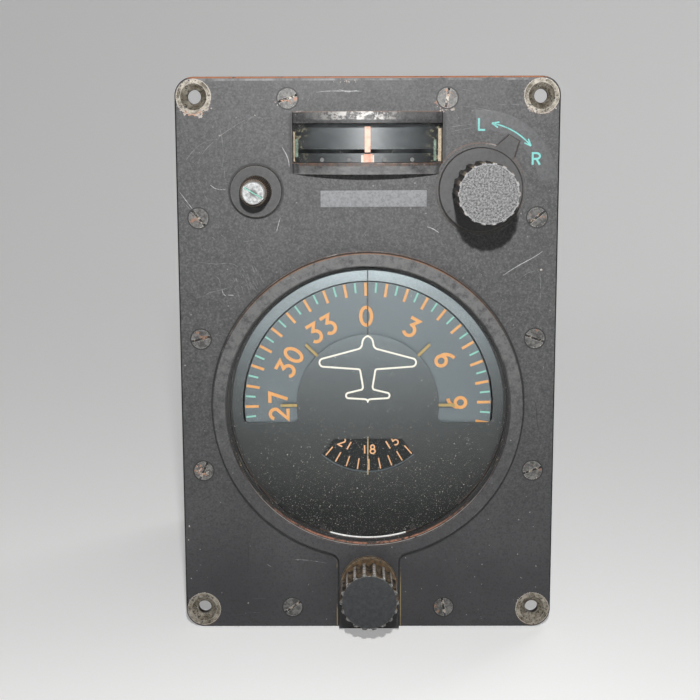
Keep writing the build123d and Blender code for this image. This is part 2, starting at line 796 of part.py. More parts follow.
# Movement of the rudder indicator: frame, horseshoe magnet, pointer and coil
meter_low_z = lip_low[0] - meter_plate_t / 2
meter_high_z = lip_high[1] - meter_plate_t
with BuildPart() as meter_frame:
    for level in (meter_low_z, meter_high_z):
        with BuildSketch(Plane.XY.offset(level)):
            with Locations((0, (meter_y + meter_back) / 2)):
                Rectangle(2 * meter_half, meter_y + meter_back)
        extrude(amount=meter_plate_t)
    with BuildSketch(Plane.XY.offset(meter_low_z)):
        with Locations((0, meter_y + meter_back + meter_plate_t / 2)):
            Rectangle(2 * meter_half, meter_plate_t)
    extrude(amount=meter_high_z + meter_plate_t - meter_low_z)
    with BuildSketch(Plane.XY.offset(meter_low_z)):
        with Locations((0, meter_y)):
            Circle(pivot_r + running_gap)
    extrude(amount=meter_high_z + meter_plate_t - meter_low_z, mode=Mode.SUBTRACT)
save(meter_frame, "meter_frame")

with BuildPart() as meter_magnet:
    with BuildSketch(Plane.XY.offset(meter_low_z + meter_plate_t)):
        with Locations((0, meter_y)):
            Circle(meter_back)
            with Locations((0, -magnet_leg / 2)):
                Rectangle(2 * meter_back, magnet_leg)
            Circle(magnet_inner_r, mode=Mode.SUBTRACT)
            with Locations((0, -magnet_leg)):
                Rectangle(2 * magnet_inner_r, 2 * magnet_leg, mode=Mode.SUBTRACT)
    extrude(amount=meter_high_z - meter_low_z - meter_plate_t)
save(meter_magnet, "meter_magnet")

arm_low = scale_slot_z - pointer_sheet_t / 2
vane_r = window_r - window_t - pointer_vane_gap
with BuildPart() as rudder_pointer:
    with BuildSketch(Plane.XY.offset(meter_low_z)):
        with Locations((0, meter_y)):
            Circle(pivot_r)
    extrude(amount=meter_high_z + meter_plate_t - meter_low_z)
    with BuildSketch(Plane.XY.offset(arm_low)):
        with BuildLine():
            Polyline((-coil_t / 2, meter_y), (coil_t / 2, meter_y), (pointer_vane_w / 2, meter_y - vane_r),
                     (-pointer_vane_w / 2, meter_y - vane_r), close=True)
        make_face()
    extrude(amount=pointer_sheet_t)
    with BuildSketch(front_plane(meter_y - vane_r + pointer_sheet_t)):
        with Locations((0, (arm_low + lip_high[0] - pointer_vane_gap) / 2)):
            Rectangle(pointer_vane_w, lip_high[0] - pointer_vane_gap - arm_low)
    extrude(amount=pointer_sheet_t)
save(rudder_pointer, "rudder_pointer")

with BuildPart() as pointer_coil:
    coil_mid = (arm_low + pointer_sheet_t + meter_high_z - pointer_vane_gap) / 2
    coil_room = meter_high_z - pointer_vane_gap - arm_low - pointer_sheet_t
    with BuildSketch(front_plane(meter_y + coil_t / 2, 0, coil_mid)):
        Rectangle(2 * coil_half, coil_room)
        Rectangle(2 * (coil_half - coil_wall), coil_room - 2 * coil_wall, mode=Mode.SUBTRACT)
    extrude(amount=coil_t)
    with BuildSketch(Plane.XY.offset(arm_low)):
        with Locations((0, meter_y)):
            Circle(pivot_r)
    extrude(amount=meter_high_z - arm_low, mode=Mode.SUBTRACT)
save(pointer_coil, "pointer_coil")

# Rudder trim knob: a plate with its pointing tab, a skirt disc and a tall fluted knob on one shaft
trim_plate_back = face_y - trim_boss_h - control_gap
trim_skirt_back = trim_plate_back - trim_plate_t
trim_neck_back = trim_skirt_back - trim_skirt_t
with BuildPart() as trim_pointer_plate:
    with BuildSketch(front_plane(trim_plate_back, trim_x, trim_z)):
        Circle(trim_plate_r)
        with BuildLine(Plane.XY.rotated((0, 0, -trim_tab_angle))):
            Polyline((-trim_tab_root, 0), (-trim_tab_root, trim_plate_r), (-trim_tab_tip, trim_tab_r),
                     (trim_tab_tip, trim_tab_r), (trim_tab_root, trim_plate_r), (trim_tab_root, 0),
                     close=True)
        make_face()
        Circle(control_shaft_r, mode=Mode.SUBTRACT)
    extrude(amount=trim_plate_t)
save(trim_pointer_plate, "trim_pointer_plate")

with BuildPart() as trim_skirt:
    extrude(ring(front_plane(trim_skirt_back, trim_x, trim_z), trim_skirt_r, control_shaft_r),
            amount=trim_skirt_t)
    chamfer(trim_skirt.faces().sort_by(Axis.Y)[0].edges().sort_by(SortBy.RADIUS)[-1], bore_edge)
save(trim_skirt, "trim_skirt")

trim_flute_back = trim_neck_back - trim_neck_h
trim_front = face_y - trim_knob_top
trim_shaft_front = trim_front + trim_neck_h
with BuildPart() as trim_knob:
    with BuildSketch(front_plane(trim_neck_back, trim_x, trim_z)):
        Circle(trim_neck_r)
    extrude(amount=trim_neck_h)
    add(fluted_knob(trim_flute_back, trim_front, trim_knob_r, trim_x, trim_z))
    chamfer(trim_knob.faces().sort_by(Axis.Y)[0].edges(), bore_edge / 2)
    with BuildSketch(front_plane(trim_neck_back, trim_x, trim_z)):
        Circle(control_shaft_r)
    extrude(amount=trim_neck_back - trim_shaft_front, mode=Mode.SUBTRACT)
save(trim_knob, "trim_knob")

pot_floor = pot_len - pot_wall
with BuildPart() as trim_shaft:
    with BuildSketch(front_plane(pot_floor - pot_wall, trim_x, trim_z)):
        Circle(control_shaft_r)
    extrude(amount=pot_floor - pot_wall - trim_shaft_front)
    with BuildSketch(front_plane(pot_floor - pot_wall, trim_x, trim_z)):
        with Locations((pot_r / 2 - pot_wall, 0)):
            Rectangle(pot_r - 2 * pot_wall, control_shaft_r)
    extrude(amount=2 * pot_wall)
save(trim_shaft, "trim_shaft")

# Potentiometers behind the two upper controls: cupped cases whose bushes pass through the panel
with BuildPart() as potentiometers:
    for x, z, shaft_r in ((trim_x, trim_z, control_shaft_r), (adjuster_x, adjuster_z, adjuster_shaft_r)):
        with BuildSketch(front_plane(pot_len, x, z)):
            Circle(pot_r)
        extrude(amount=pot_len)
        with BuildSketch(front_plane(pot_floor, x, z)):
            Circle(pot_r - pot_wall)
        extrude(amount=pot_floor - pot_wall, mode=Mode.SUBTRACT)
        with BuildSketch(front_plane(pot_wall, x, z)):
            Circle(pot_bush_r)
        extrude(amount=pot_wall - face_y)
        with BuildSketch(front_plane(pot_wall, x, z)):
            Circle(shaft_r + running_gap)
        extrude(amount=pot_wall - face_y, mode=Mode.SUBTRACT)
save(potentiometers, "potentiometers")

# Adjuster: fixed flange, knurled skirt with its slotted cap, and the shaft
with BuildPart() as adjuster_flange:
    extrude(ring(front_plane(face_y, adjuster_x, adjuster_z), adjuster_flange_r, adjuster_flange_hole_r),
            amount=adjuster_flange_t)
    chamfer(adjuster_flange.faces().sort_by(Axis.Y)[0].edges().sort_by(SortBy.RADIUS)[-1], bore_edge)
save(adjuster_flange, "adjuster_flange")

adjuster_back = face_y - adjuster_flange_t - control_gap
adjuster_cap_back = adjuster_back - adjuster_skirt_h
adjuster_front = adjuster_cap_back - adjuster_cap_t
with BuildPart() as adjuster_knob:
    for depth, radius in ((adjuster_back, adjuster_base_r), (adjuster_cap_back, adjuster_tip_r)):
        with BuildSketch(front_plane(depth, adjuster_x, adjuster_z)):
            Polygon(*rib_outline(adjuster_ribs, radius, adjuster_rib_depth), align=None)
    loft(ruled=True)
    with BuildSketch(front_plane(adjuster_back, adjuster_x, adjuster_z)):
        Circle(adjuster_shaft_r)
    extrude(amount=adjuster_skirt_h, mode=Mode.SUBTRACT)
save(adjuster_knob, "adjuster_knob")

with BuildPart() as adjuster_cap:
    with BuildSketch(front_plane(adjuster_cap_back, adjuster_x, adjuster_z)):
        Circle(adjuster_cap_r)
    extrude(amount=adjuster_cap_t)
    chamfer(adjuster_cap.faces().sort_by(Axis.Y)[0].edges(), bore_edge)
    with BuildSketch(front_plane(adjuster_front + adjuster_slot_depth, adjuster_x, adjuster_z)):
        Rectangle(2 * adjuster_cap_r, adjuster_slot_w, rotation=adjuster_slot_angle)
    extrude(amount=adjuster_slot_depth, mode=Mode.SUBTRACT)
save(adjuster_cap, "adjuster_cap")

with BuildPart() as adjuster_shaft:
    with BuildSketch(front_plane(pot_floor - pot_wall, adjuster_x, adjuster_z)):
        Circle(adjuster_shaft_r)
    extrude(amount=pot_floor - pot_wall - adjuster_cap_back)
    with BuildSketch(front_plane(pot_floor - pot_wall, adjuster_x, adjuster_z)):
        with Locations((pot_r / 2 - pot_wall, 0)):
            Rectangle(pot_r - 2 * pot_wall, 2 * adjuster_shaft_r - running_gap)
    extrude(amount=2 * pot_wall)
save(adjuster_shaft, "adjuster_shaft")

# Caging knob on its shaft, the flanged bush in the strip, and the sleeve that the shaft pushes
caging_flange_y = face_y - ring_h - caging_flange_t
caging_front = face_y - caging_knob_top
caging_knob_back = caging_front + caging_knob_t
with BuildPart() as caging_bushing:
    with BuildSketch(front_plane(face_y - ring_h, caging_x, caging_z)):
        Circle(caging_flange_r)
    extrude(amount=caging_flange_t)
    chamfer(caging_bushing.faces().sort_by(Axis.Y)[0].edges(), bore_edge)
    with BuildSketch(front_plane(caging_bush_back, caging_x, caging_z)):
        Circle(caging_bush_r)
    extrude(amount=caging_bush_back - face_y + ring_h)
    with BuildSketch(front_plane(caging_bush_back, caging_x, caging_z)):
        Circle(caging_shaft_r + running_gap)
    extrude(amount=caging_bush_back - caging_flange_y, mode=Mode.SUBTRACT)
save(caging_bushing, "caging_bushing")

with BuildPart() as caging_knob:
    add(fluted_knob(caging_knob_back, caging_front, caging_knob_r, caging_x, caging_z))
    chamfer(caging_knob.faces().sort_by(Axis.Y)[0].edges(), bore_edge / 2)
    with BuildSketch(front_plane(caging_knob_back, caging_x, caging_z)):
        Circle(caging_shaft_r)
    extrude(amount=caging_knob_t / 2, mode=Mode.SUBTRACT)
save(caging_knob, "caging_knob")

pinion_back = gear_y - pinion_gap
with BuildPart() as caging_shaft:
    with BuildSketch(front_plane(sleeve_back - sleeve_cap_t - running_gap, caging_x, caging_z)):
        Circle(caging_shaft_r)
    extrude(amount=sleeve_back - sleeve_cap_t - running_gap - caging_knob_back + caging_knob_t / 2)
    with BuildSketch(front_plane(pinion_back, caging_x, caging_z)):
        Polygon(*tooth_outline(pinion_teeth, gear_module, pinion_phase), align=None)
    extrude(amount=pinion_t)
save(caging_shaft, "caging_shaft")

with BuildPart() as caging_sleeve:
    with BuildSketch(front_plane(sleeve_back, caging_x, caging_z)):
        Circle(sleeve_r)
    extrude(amount=sleeve_back - sleeve_front)
    with BuildSketch(front_plane(sleeve_back - sleeve_cap_t, caging_x, caging_z)):
        Circle(caging_shaft_r + running_gap)
    extrude(amount=sleeve_back - sleeve_cap_t - sleeve_front, mode=Mode.SUBTRACT)
save(caging_sleeve, "caging_sleeve")

# Caging lever: a bell crank with a roller at the sleeve and a long arm under the caging pin
with BuildPart() as caging_lever:
    with BuildSketch(Plane((caging_x - lever_w / 2, 0, 0), x_dir=(0, 1, 0), z_dir=(1, 0, 0))):
        with Locations((lever_y, (lever_z + caging_z) / 2)):
            Rectangle(lever_t, lever_z - caging_z)
        with Locations((lever_y, lever_z)):
            Circle(lever_t)
        with Locations((lever_y, caging_z)):
            Circle(lever_roller_r)
        with Locations(((lever_y + gimbal_y + lever_t / 2) / 2, lever_z)):
            Rectangle(gimbal_y + lever_t / 2 - lever_y, lever_t)
        with Locations((lever_y, lever_z)):
            Circle(lever_pin_r + running_gap, mode=Mode.SUBTRACT)
    extrude(amount=lever_w)
save(caging_lever, "caging_lever")

with BuildPart() as lever_pin:
    pin_half = lever_w / 2 + lever_side_gap + lever_lug_t
    with BuildSketch(Plane((caging_x - pin_half, lever_y, lever_z), x_dir=(0, 1, 0), z_dir=(1, 0, 0))):
        Circle(lever_pin_r)
    extrude(amount=2 * pin_half)
save(lever_pin, "lever_pin")

with BuildPart() as caging_pin:
    with BuildSketch(Plane((0, gimbal_y, caging_pin_foot))):
        Circle(caging_pin_r)
    extrude(amount=caging_pin_top - caging_pin_foot)
    fillet(caging_pin.edges().filter_by(GeomType.CIRCLE), caging_pin_r - running_gap)
save(caging_pin, "caging_pin")

# Brackets across the housing: the lower one also carries the card's rear bearing and the lever's lugs
half_span = case_inner_w / 2
with BuildPart() as lower_bracket:
    with BuildSketch(Plane.XY.offset(lower_plate_z)):
        front_edge = rear_card_bearing_y - bearing_t / 2
        with Locations((0, (front_edge + gimbal_y + bracket_half_depth) / 2)):
            Rectangle(2 * half_span, gimbal_y + bracket_half_depth - front_edge)
        tongue_front = lever_y - lever_t
        with Locations((caging_x, (tongue_front + front_edge) / 2)):
            Rectangle(2 * pin_half + 2 * lever_lug_t, front_edge - tongue_front)
    extrude(amount=lower_plate_t)
    for side in (-1, 1):
        with BuildSketch(Plane.XY.offset(lower_plate_z)):
            with Locations((side * (half_span - bracket_lug_t / 2), gimbal_y)):
                Rectangle(bracket_lug_t, 2 * bracket_half_depth)
        extrude(amount=-bracket_lug_h)
        lug_plane = Plane((caging_x + side * (lever_w / 2 + lever_side_gap), 0, 0), x_dir=(0, 1, 0),
                          z_dir=(1, 0, 0))
        with BuildSketch(lug_plane):
            with Locations((lever_y, lever_z)):
                Circle(lever_t)
            with Locations((lever_y, (lever_z + lower_plate_z) / 2)):
                Rectangle(2 * lever_t, lower_plate_z - lever_z)
            with Locations((lever_y, lever_z)):
                Circle(lever_pin_r, mode=Mode.SUBTRACT)
        extrude(amount=side * lever_lug_t)
    with BuildSketch(front_plane(rear_card_bearing_y + bearing_t)):
        with Locations((0, dial_z)):
            Circle(bearing_r + bearing_ring_t)
        with Locations((0, (dial_z + lower_plate_z) / 2)):
            Rectangle(2 * (bearing_r + bearing_ring_t), dial_z - lower_plate_z)
        with Locations((0, dial_z)):
            Circle(bearing_r, mode=Mode.SUBTRACT)
    extrude(amount=bearing_t)
    with BuildSketch(Plane((0, gimbal_y, lower_plate_z))):
        Circle(bearing_r)
    extrude(amount=lower_plate_t, mode=Mode.SUBTRACT)
save(lower_bracket, "lower_bracket")

with BuildPart() as upper_bracket:
    with BuildSketch(Plane.XY.offset(upper_plate_z)):
        with Locations((0, gimbal_y)):
            Rectangle(2 * half_span, 2 * bracket_half_depth)
    extrude(amount=upper_plate_t)
    for side in (-1, 1):
        with BuildSketch(Plane.XY.offset(upper_plate_z)):
            with Locations((side * (half_span - bracket_lug_t / 2), gimbal_y)):
                Rectangle(bracket_lug_t, 2 * bracket_half_depth)
        extrude(amount=-bracket_lug_h)
    with BuildSketch(Plane((0, gimbal_y, upper_plate_z))):
        Circle(bearing_r)
    extrude(amount=upper_plate_t, mode=Mode.SUBTRACT)
    with BuildSketch(front_plane(case_back)):
        RectangleRounded(case_inner_w, case_inner_h, wall_corner_r)
    extrude(amount=case_back, mode=Mode.INTERSECT)
save(upper_bracket, "upper_bracket")

with BuildPart() as gimbal_bearings:
    for plate_z, thickness in ((lower_plate_z, lower_plate_t), (upper_plate_z, upper_plate_t)):
        level = plate_z + (thickness - bearing_t) / 2
        add(bearing(Plane((0, gimbal_y, level)), trunnion_r, bearing_r, bearing_t))
save(gimbal_bearings, "gimbal_bearings")

# Outer gimbal: a rounded frame with a hollow trunnion below and a plain one above
with BuildPart() as outer_gimbal:
    frame_w = 2 * (gimbal_inner_half + gimbal_side_t)
    frame_h = gimbal_room + 2 * gimbal_bar_t
    with BuildSketch(front_plane(gimbal_y + gimbal_depth / 2, 0, gimbal_mid_z)):
        RectangleRounded(frame_w, frame_h, gimbal_corner_r)
        RectangleRounded(2 * gimbal_inner_half, gimbal_room, gimbal_corner_r / 2, mode=Mode.SUBTRACT)
    extrude(amount=gimbal_depth)
    with BuildSketch(Plane((0, gimbal_y, trunnion_down_z))):
        Circle(trunnion_r)
    extrude(amount=gimbal_foot_z - trunnion_down_z)
    with BuildSketch(Plane((0, gimbal_y, gimbal_head_z))):
        Circle(trunnion_r)
    extrude(amount=trunnion_up)
    with BuildSketch(Plane((0, gimbal_y, trunnion_down_z))):
        Circle(trunnion_bore_r)
    extrude(amount=gimbal_floor_z - trunnion_down_z, mode=Mode.SUBTRACT)
    with BuildSketch(Plane((-frame_w / 2, gimbal_y, gimbal_mid_z), x_dir=(0, 1, 0), z_dir=(1, 0, 0))):
        Circle(ring_bearing_r)
    extrude(amount=frame_w, mode=Mode.SUBTRACT)
save(outer_gimbal, "outer_gimbal")

with BuildPart() as slip_ring_set:
    for step in range(slip_rings):
        level = gimbal_head_z + control_gap + step * (slip_ring_t + control_gap)
        extrude(ring(Plane((0, gimbal_y, level)), slip_ring_r, trunnion_r), amount=slip_ring_t)
save(slip_ring_set, "slip_rings")

# Bearings of the inner gimbal, seated in the sides of the outer one
with BuildPart() as inner_bearings:
    for side in (-1, 1):
        start = side * (gimbal_inner_half + (gimbal_side_t - bearing_t) / 2)
        seat = Plane((start, gimbal_y, gimbal_mid_z), x_dir=(0, side, 0), z_dir=(side, 0, 0))
        add(bearing(seat, inner_pivot_r, ring_bearing_r, bearing_t))
save(inner_bearings, "inner_bearings")

# Inner gimbal: a drum that encloses the rotor, open at the back, where its cover closes it
drum_front = gimbal_y - case_half
drum_back = gimbal_y + case_half
with BuildPart() as inner_gimbal:
    with BuildSketch(front_plane(drum_back - case_wall, 0, gimbal_mid_z)):
        Circle(case_r)
    extrude(amount=2 * case_half - case_wall)
    with BuildSketch(front_plane(drum_back - case_wall, 0, gimbal_mid_z)):
        Circle(case_r - case_wall)
    extrude(amount=2 * case_half - 2 * case_wall, mode=Mode.SUBTRACT)
    with BuildSketch(front_plane(drum_front + case_wall + bearing_t, 0, gimbal_mid_z)):
        Circle(ring_bearing_r + case_wall)
    extrude(amount=bearing_t)
    with BuildSketch(front_plane(drum_front + case_wall + bearing_t, 0, gimbal_mid_z)):
        Circle(ring_bearing_r)
    extrude(amount=bearing_t, mode=Mode.SUBTRACT)
    for side in (-1, 1):
        boss_plane = Plane((side * (case_r - case_wall / 2), gimbal_y, gimbal_mid_z), x_dir=(0, side, 0),
                           z_dir=(side, 0, 0))
        with BuildSketch(boss_plane):
            Circle(ring_bearing_r)
        extrude(amount=gimbal_inner_half - lever_side_gap - case_r + case_wall / 2)
        with BuildSketch(boss_plane.offset(-2 * case_wall)):
            Circle(inner_pivot_r)
        extrude(amount=gimbal_inner_half, mode=Mode.SUBTRACT)
    with BuildSketch(Plane((0, gimbal_y, gimbal_mid_z - case_r - case_foot))):
        Circle(case_foot_r)
    extrude(amount=case_foot + case_wall / 2)
save(inner_gimbal, "inner_gimbal")

with BuildPart() as inner_gimbal_cover:
    with BuildSketch(front_plane(drum_back, 0, gimbal_mid_z)):
        Circle(case_r)
    extrude(amount=case_wall)
    with BuildSketch(front_plane(drum_back - case_wall, 0, gimbal_mid_z)):
        Circle(ring_bearing_r + case_wall)
    extrude(amount=bearing_t)
    with BuildSketch(front_plane(drum_back - case_wall, 0, gimbal_mid_z)):
        Circle(ring_bearing_r)
    extrude(amount=bearing_t, mode=Mode.SUBTRACT)
save(inner_gimbal_cover, "inner_gimbal_cover")

with BuildPart() as inner_pivots:
    for side in (-1, 1):
        root = Plane((side * (case_r - case_wall + control_gap), gimbal_y, gimbal_mid_z), x_dir=(0, side, 0),
                     z_dir=(side, 0, 0))
        with BuildSketch(root):
            Circle(inner_pivot_r)
        extrude(amount=gimbal_inner_half + gimbal_side_t - case_r + case_wall - lever_side_gap)
save(inner_pivots, "inner_pivots")

with BuildPart() as rotor_bearings:
    for back in (drum_front + case_wall + bearing_t, drum_back - case_wall):
        add(bearing(front_plane(back, 0, gimbal_mid_z), rotor_shaft_r, ring_bearing_r, bearing_t))
save(rotor_bearings, "rotor_bearings")

# Gyro rotor: a heavy rim on a thin web, and its shaft
with BuildPart() as gyro_rotor:
    with BuildSketch(Plane((0, gimbal_y, gimbal_mid_z))):
        with Locations((rotor_r - rotor_rim_t / 2, 0)):
            Rectangle(rotor_rim_t, 2 * rotor_half)
        with Locations(((rotor_r - rotor_rim_t + rotor_shaft_r) / 2, 0)):
            Rectangle(rotor_r - rotor_rim_t - rotor_shaft_r, rotor_web_t)
        with Locations((rotor_shaft_r + case_wall / 2, 0)):
            Rectangle(case_wall, 2 * rotor_half - case_wall)
    revolve(axis=Axis((0, gimbal_y, gimbal_mid_z), (0, 1, 0)))
save(gyro_rotor, "gyro_rotor")

with BuildPart() as rotor_shaft:
    with BuildSketch(front_plane(drum_back - case_wall - control_gap, 0, gimbal_mid_z)):
        Circle(rotor_shaft_r)
    extrude(amount=2 * (case_half - case_wall - control_gap))
save(rotor_shaft, "rotor_shaft")

# Housing: a deep box with an outer flange, ribs round it and bosses for the cover's screws
flange_back = body_y + flange_t
with BuildPart() as housing:
    with BuildSketch(front_plane(flange_back)):
        RectangleRounded(flange_w, flange_h, flange_corner_r)
        with GridLocations(2 * bushing_x, 2 * bushing_z, 2, 2):
            Circle(corner_relief_r, mode=Mode.SUBTRACT)
    extrude(amount=flange_t)
    with BuildSketch(front_plane(case_back)):
        RectangleRounded(case_w, case_h, case_edge_r)
    extrude(amount=case_back - body_y)
    rib_step = (case_back - flange_back) / (rib_count + 1)
    for rib in range(rib_count + 1):
        with BuildSketch(front_plane(flange_back + (rib + 1) * rib_step)):
            RectangleRounded(case_w + 2 * rib_t, case_h + 2 * rib_t, case_edge_r + rib_t)
        extrude(amount=rib_w)
    with BuildSketch(front_plane(case_back)):
        RectangleRounded(case_inner_w, case_inner_h, wall_corner_r)
    extrude(amount=case_back - body_y, mode=Mode.SUBTRACT)
    with BuildSketch(front_plane(case_back)):
        with Locations(*cover_screws_at):
            Circle(cover_boss_r)
        RectangleRounded(case_inner_w + case_t, case_inner_h + case_t, wall_corner_r, mode=Mode.INTERSECT)
    extrude(amount=cover_boss_len)
    with BuildSketch(front_plane(case_back)):
        with Locations(*cover_screws_at):
            Circle(cover_screw_r)
    extrude(amount=cover_boss_len, mode=Mode.SUBTRACT)
    with BuildSketch(front_plane(flange_back)):
        with Locations(*[(x, z) for x, z, _ in panel_screws_at]):
            Circle(screw_r + running_gap)
    extrude(amount=flange_t, mode=Mode.SUBTRACT)
save(housing, "housing")

with BuildPart() as housing_gasket:
    with BuildSketch(front_plane(body_y)):
        RectangleRounded(flange_w, flange_h, flange_corner_r)
        RectangleRounded(case_inner_w, case_inner_h, wall_corner_r, mode=Mode.SUBTRACT)
        with GridLocations(2 * bushing_x, 2 * bushing_z, 2, 2):
            Circle(corner_relief_r, mode=Mode.SUBTRACT)
        with Locations(*[(x, z) for x, z, _ in panel_screws_at]):
            Circle(screw_r + running_gap, mode=Mode.SUBTRACT)
    extrude(amount=seal_t)
save(housing_gasket, "housing_gasket")

# Rear cover: a flat rim with a raised pan, and its screws
pan_w = case_w - 2 * cover_margin
pan_h = case_h - 2 * cover_margin
cover_back = case_back + cover_t + cover_depth
with BuildPart() as rear_cover:
    with BuildSketch(back_plane(case_back)):
        RectangleRounded(case_w + 2 * rib_t, case_h + 2 * rib_t, case_edge_r + rib_t)
    extrude(amount=cover_t)
    chamfer(rear_cover.faces().sort_by(Axis.Y)[-1].edges(), bore_edge)
    with BuildSketch(back_plane(case_back)):
        RectangleRounded(pan_w, pan_h, case_edge_r)
    extrude(amount=cover_back - case_back)
    fillet(rear_cover.faces().sort_by(Axis.Y)[-1].edges(), cover_edge_r)
    with BuildSketch(back_plane(case_back)):
        RectangleRounded(pan_w - 2 * cover_t, pan_h - 2 * cover_t, wall_corner_r)
    extrude(amount=cover_back - case_back - cover_t, mode=Mode.SUBTRACT)
    with BuildSketch(back_plane(case_back)):
        with Locations(*[(-x, z) for x, z in cover_screws_at]):
            Circle(cover_screw_r + running_gap)
        with Locations((0, plug_z)):
            Circle(plug_r)
            with GridLocations(2 * plug_screw_at, 2 * plug_screw_at, 2, 2):
                Circle(cover_screw_r)
    extrude(amount=cover_back - case_back, mode=Mode.SUBTRACT)
save(rear_cover, "rear_cover")

plug_flange_back = cover_back + plug_flange_t
rear_screw_places = [(x, z, case_back + cover_t) for x, z in cover_screws_at]
rear_screw_places += [(sx * plug_screw_at, plug_z + sz * plug_screw_at, plug_flange_back)
                      for sx in (-1, 1) for sz in (-1, 1)]
with BuildPart() as rear_screws:
    for x, z, seat in rear_screw_places:
        length = cover_screw_len if seat < cover_back else cover_t + plug_flange_t
        with BuildSketch(back_plane(seat - length, x, z)):
            Circle(cover_screw_r)
        extrude(amount=length)
        with BuildSketch(back_plane(seat, x, z)):
            Circle(cover_screw_head_r)
        extrude(amount=cover_screw_head_t)
        with BuildSketch(back_plane(seat + cover_screw_head_t, x, z)):
            Rectangle(2 * cover_screw_head_r, screw_slot_w, rotation=x + z)
        extrude(amount=-screw_slot_depth, mode=Mode.SUBTRACT)
save(rear_screws, "rear_screws")

# Connector: square-flanged shell with a keyway, insert and pins
with BuildPart() as connector_shell:
    with BuildSketch(back_plane(cover_back, 0, plug_z)):
        RectangleRounded(plug_flange, plug_flange, plug_edge_r)
        with GridLocations(2 * plug_screw_at, 2 * plug_screw_at, 2, 2):
            Circle(cover_screw_r, mode=Mode.SUBTRACT)
    extrude(amount=plug_flange_t)
    with BuildSketch(back_plane(cover_back - cover_t, 0, plug_z)):
        Circle(plug_r)
    extrude(amount=cover_t + plug_flange_t + plug_len)
    chamfer(connector_shell.faces().sort_by(Axis.Y)[-1].edges(), bore_edge)
    with BuildSketch(back_plane(cover_back - cover_t, 0, plug_z)):
        Circle(plug_r - plug_wall)
    extrude(amount=cover_t + plug_flange_t + plug_len, mode=Mode.SUBTRACT)
    with BuildSketch(back_plane(plug_flange_back, 0, plug_z)):
        with Locations((0, plug_r)):
            Rectangle(2 * plug_wall, 2 * (plug_wall + bore_edge), mode=Mode.ADD)
        Circle(plug_r, mode=Mode.INTERSECT)
        Circle(plug_r - plug_wall - bore_edge, mode=Mode.SUBTRACT)
    extrude(amount=plug_len / 2)
save(connector_shell, "connector_shell")

insert_back = cover_back - cover_t + plug_insert_t
with BuildPart() as connector_insert:
    with BuildSketch(back_plane(cover_back - cover_t, 0, plug_z)):
        Circle(plug_r - plug_wall)
    extrude(amount=plug_insert_t)
save(connector_insert, "connector_insert")

with BuildPart() as connector_pins:
    with BuildSketch(back_plane(insert_back, 0, plug_z)):
        with PolarLocations(plug_ring_r + plug_pin_r, plug_pins):
            Circle(plug_pin_r)
    extrude(amount=plug_pin_len)
    fillet(connector_pins.faces().group_by(Axis.Y)[-1].edges(), plug_pin_r / 2)
save(connector_pins, "connector_pins")
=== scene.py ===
"""Looks for the directional gyro: worn enamel, glass, printed marks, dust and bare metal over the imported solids.

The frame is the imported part's: X to the right, Z up, the dial faces -Y. Points, the constants at the top and names
that end in _mm are millimetres, and MM turns them into the scene's metres. Lamps, camera and floor are in metres.
"""
import math

import bmesh
import bpy
import numpy as np
from mathutils import Matrix, Vector


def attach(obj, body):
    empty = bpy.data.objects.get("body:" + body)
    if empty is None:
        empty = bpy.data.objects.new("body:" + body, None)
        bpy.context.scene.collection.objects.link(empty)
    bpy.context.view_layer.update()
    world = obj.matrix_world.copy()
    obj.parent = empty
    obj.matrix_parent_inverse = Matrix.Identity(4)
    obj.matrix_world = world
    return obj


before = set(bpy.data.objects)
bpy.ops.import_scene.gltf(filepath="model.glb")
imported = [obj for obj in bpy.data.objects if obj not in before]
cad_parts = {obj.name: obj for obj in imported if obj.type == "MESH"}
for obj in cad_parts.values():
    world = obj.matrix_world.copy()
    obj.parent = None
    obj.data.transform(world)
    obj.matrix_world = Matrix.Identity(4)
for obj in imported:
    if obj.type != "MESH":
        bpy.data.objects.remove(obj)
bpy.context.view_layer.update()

MM = 0.001
FACE_Y = -5.0
RING_Y = -9.0
DIAL_Z = -16.6
CARD_Y = -1.8
MASK_Y = -3.2
CARD_TURN = 1.0
TRIM = (39.1, 60.4)
TRIM_SKIRT_Y = -9.95
ADJUSTER = (-38.9, 59.95)
ADJUSTER_Y = -19.05
CAGING = (0.3, -81.1)
TRIM_FRONT = -40.0
CAGING_FRONT = -30.0
SCREWS = ((-27.6, 91.75), (27.6, 91.75), (-59.2, 50.6), (59.2, 50.6), (-59.2, 7.75), (59.2, 7.75), (-59.2, -40.3),
          (59.2, -40.3), (-27.6, -91.75), (27.6, -91.75))
PANEL_REACH = (66.0, 98.5)
LIP_LOW = (65.85, 69.7)
LIP_HIGH = (83.3, 87.15)
METER_Y = 54.178
SCALE_R = 60.178
DATUM_Y = METER_Y - SCALE_R - 1.0
DATUM_Z = (69.85, 72.7)
STUDS = ((-15.8, 70.7), (-6.4, 70.7), (5.9, 70.7), (15.5, 70.7))
BUSHINGS = ((-60.1, 92.4), (60.1, 92.4), (-60.1, -92.4), (60.1, -92.4))
rng = np.random.default_rng(7)


# Surfaces worked out with numpy

def grid_faces(rows, cols, close_rows=False, close_cols=False):
    """Quads of a grid of points, row after row; either way round may close on itself."""
    r = np.arange(rows if close_rows else rows - 1)
    c = np.arange(cols if close_cols else cols - 1)
    r, c = np.meshgrid(r, c, indexing="ij")
    r2, c2 = (r + 1) % rows, (c + 1) % cols
    return np.stack([r * cols + c, r * cols + c2, r2 * cols + c2, r2 * cols + c], -1).reshape(-1, 4)


def join(parts):
    """Several (points, faces) pairs as one pair, each with its faces counted on from the last."""
    points, faces, count = [], [], 0
    for p, f in parts:
        points.append(p)
        faces.append(f + count)
        count += len(p)
    return np.concatenate(points), np.concatenate(faces)


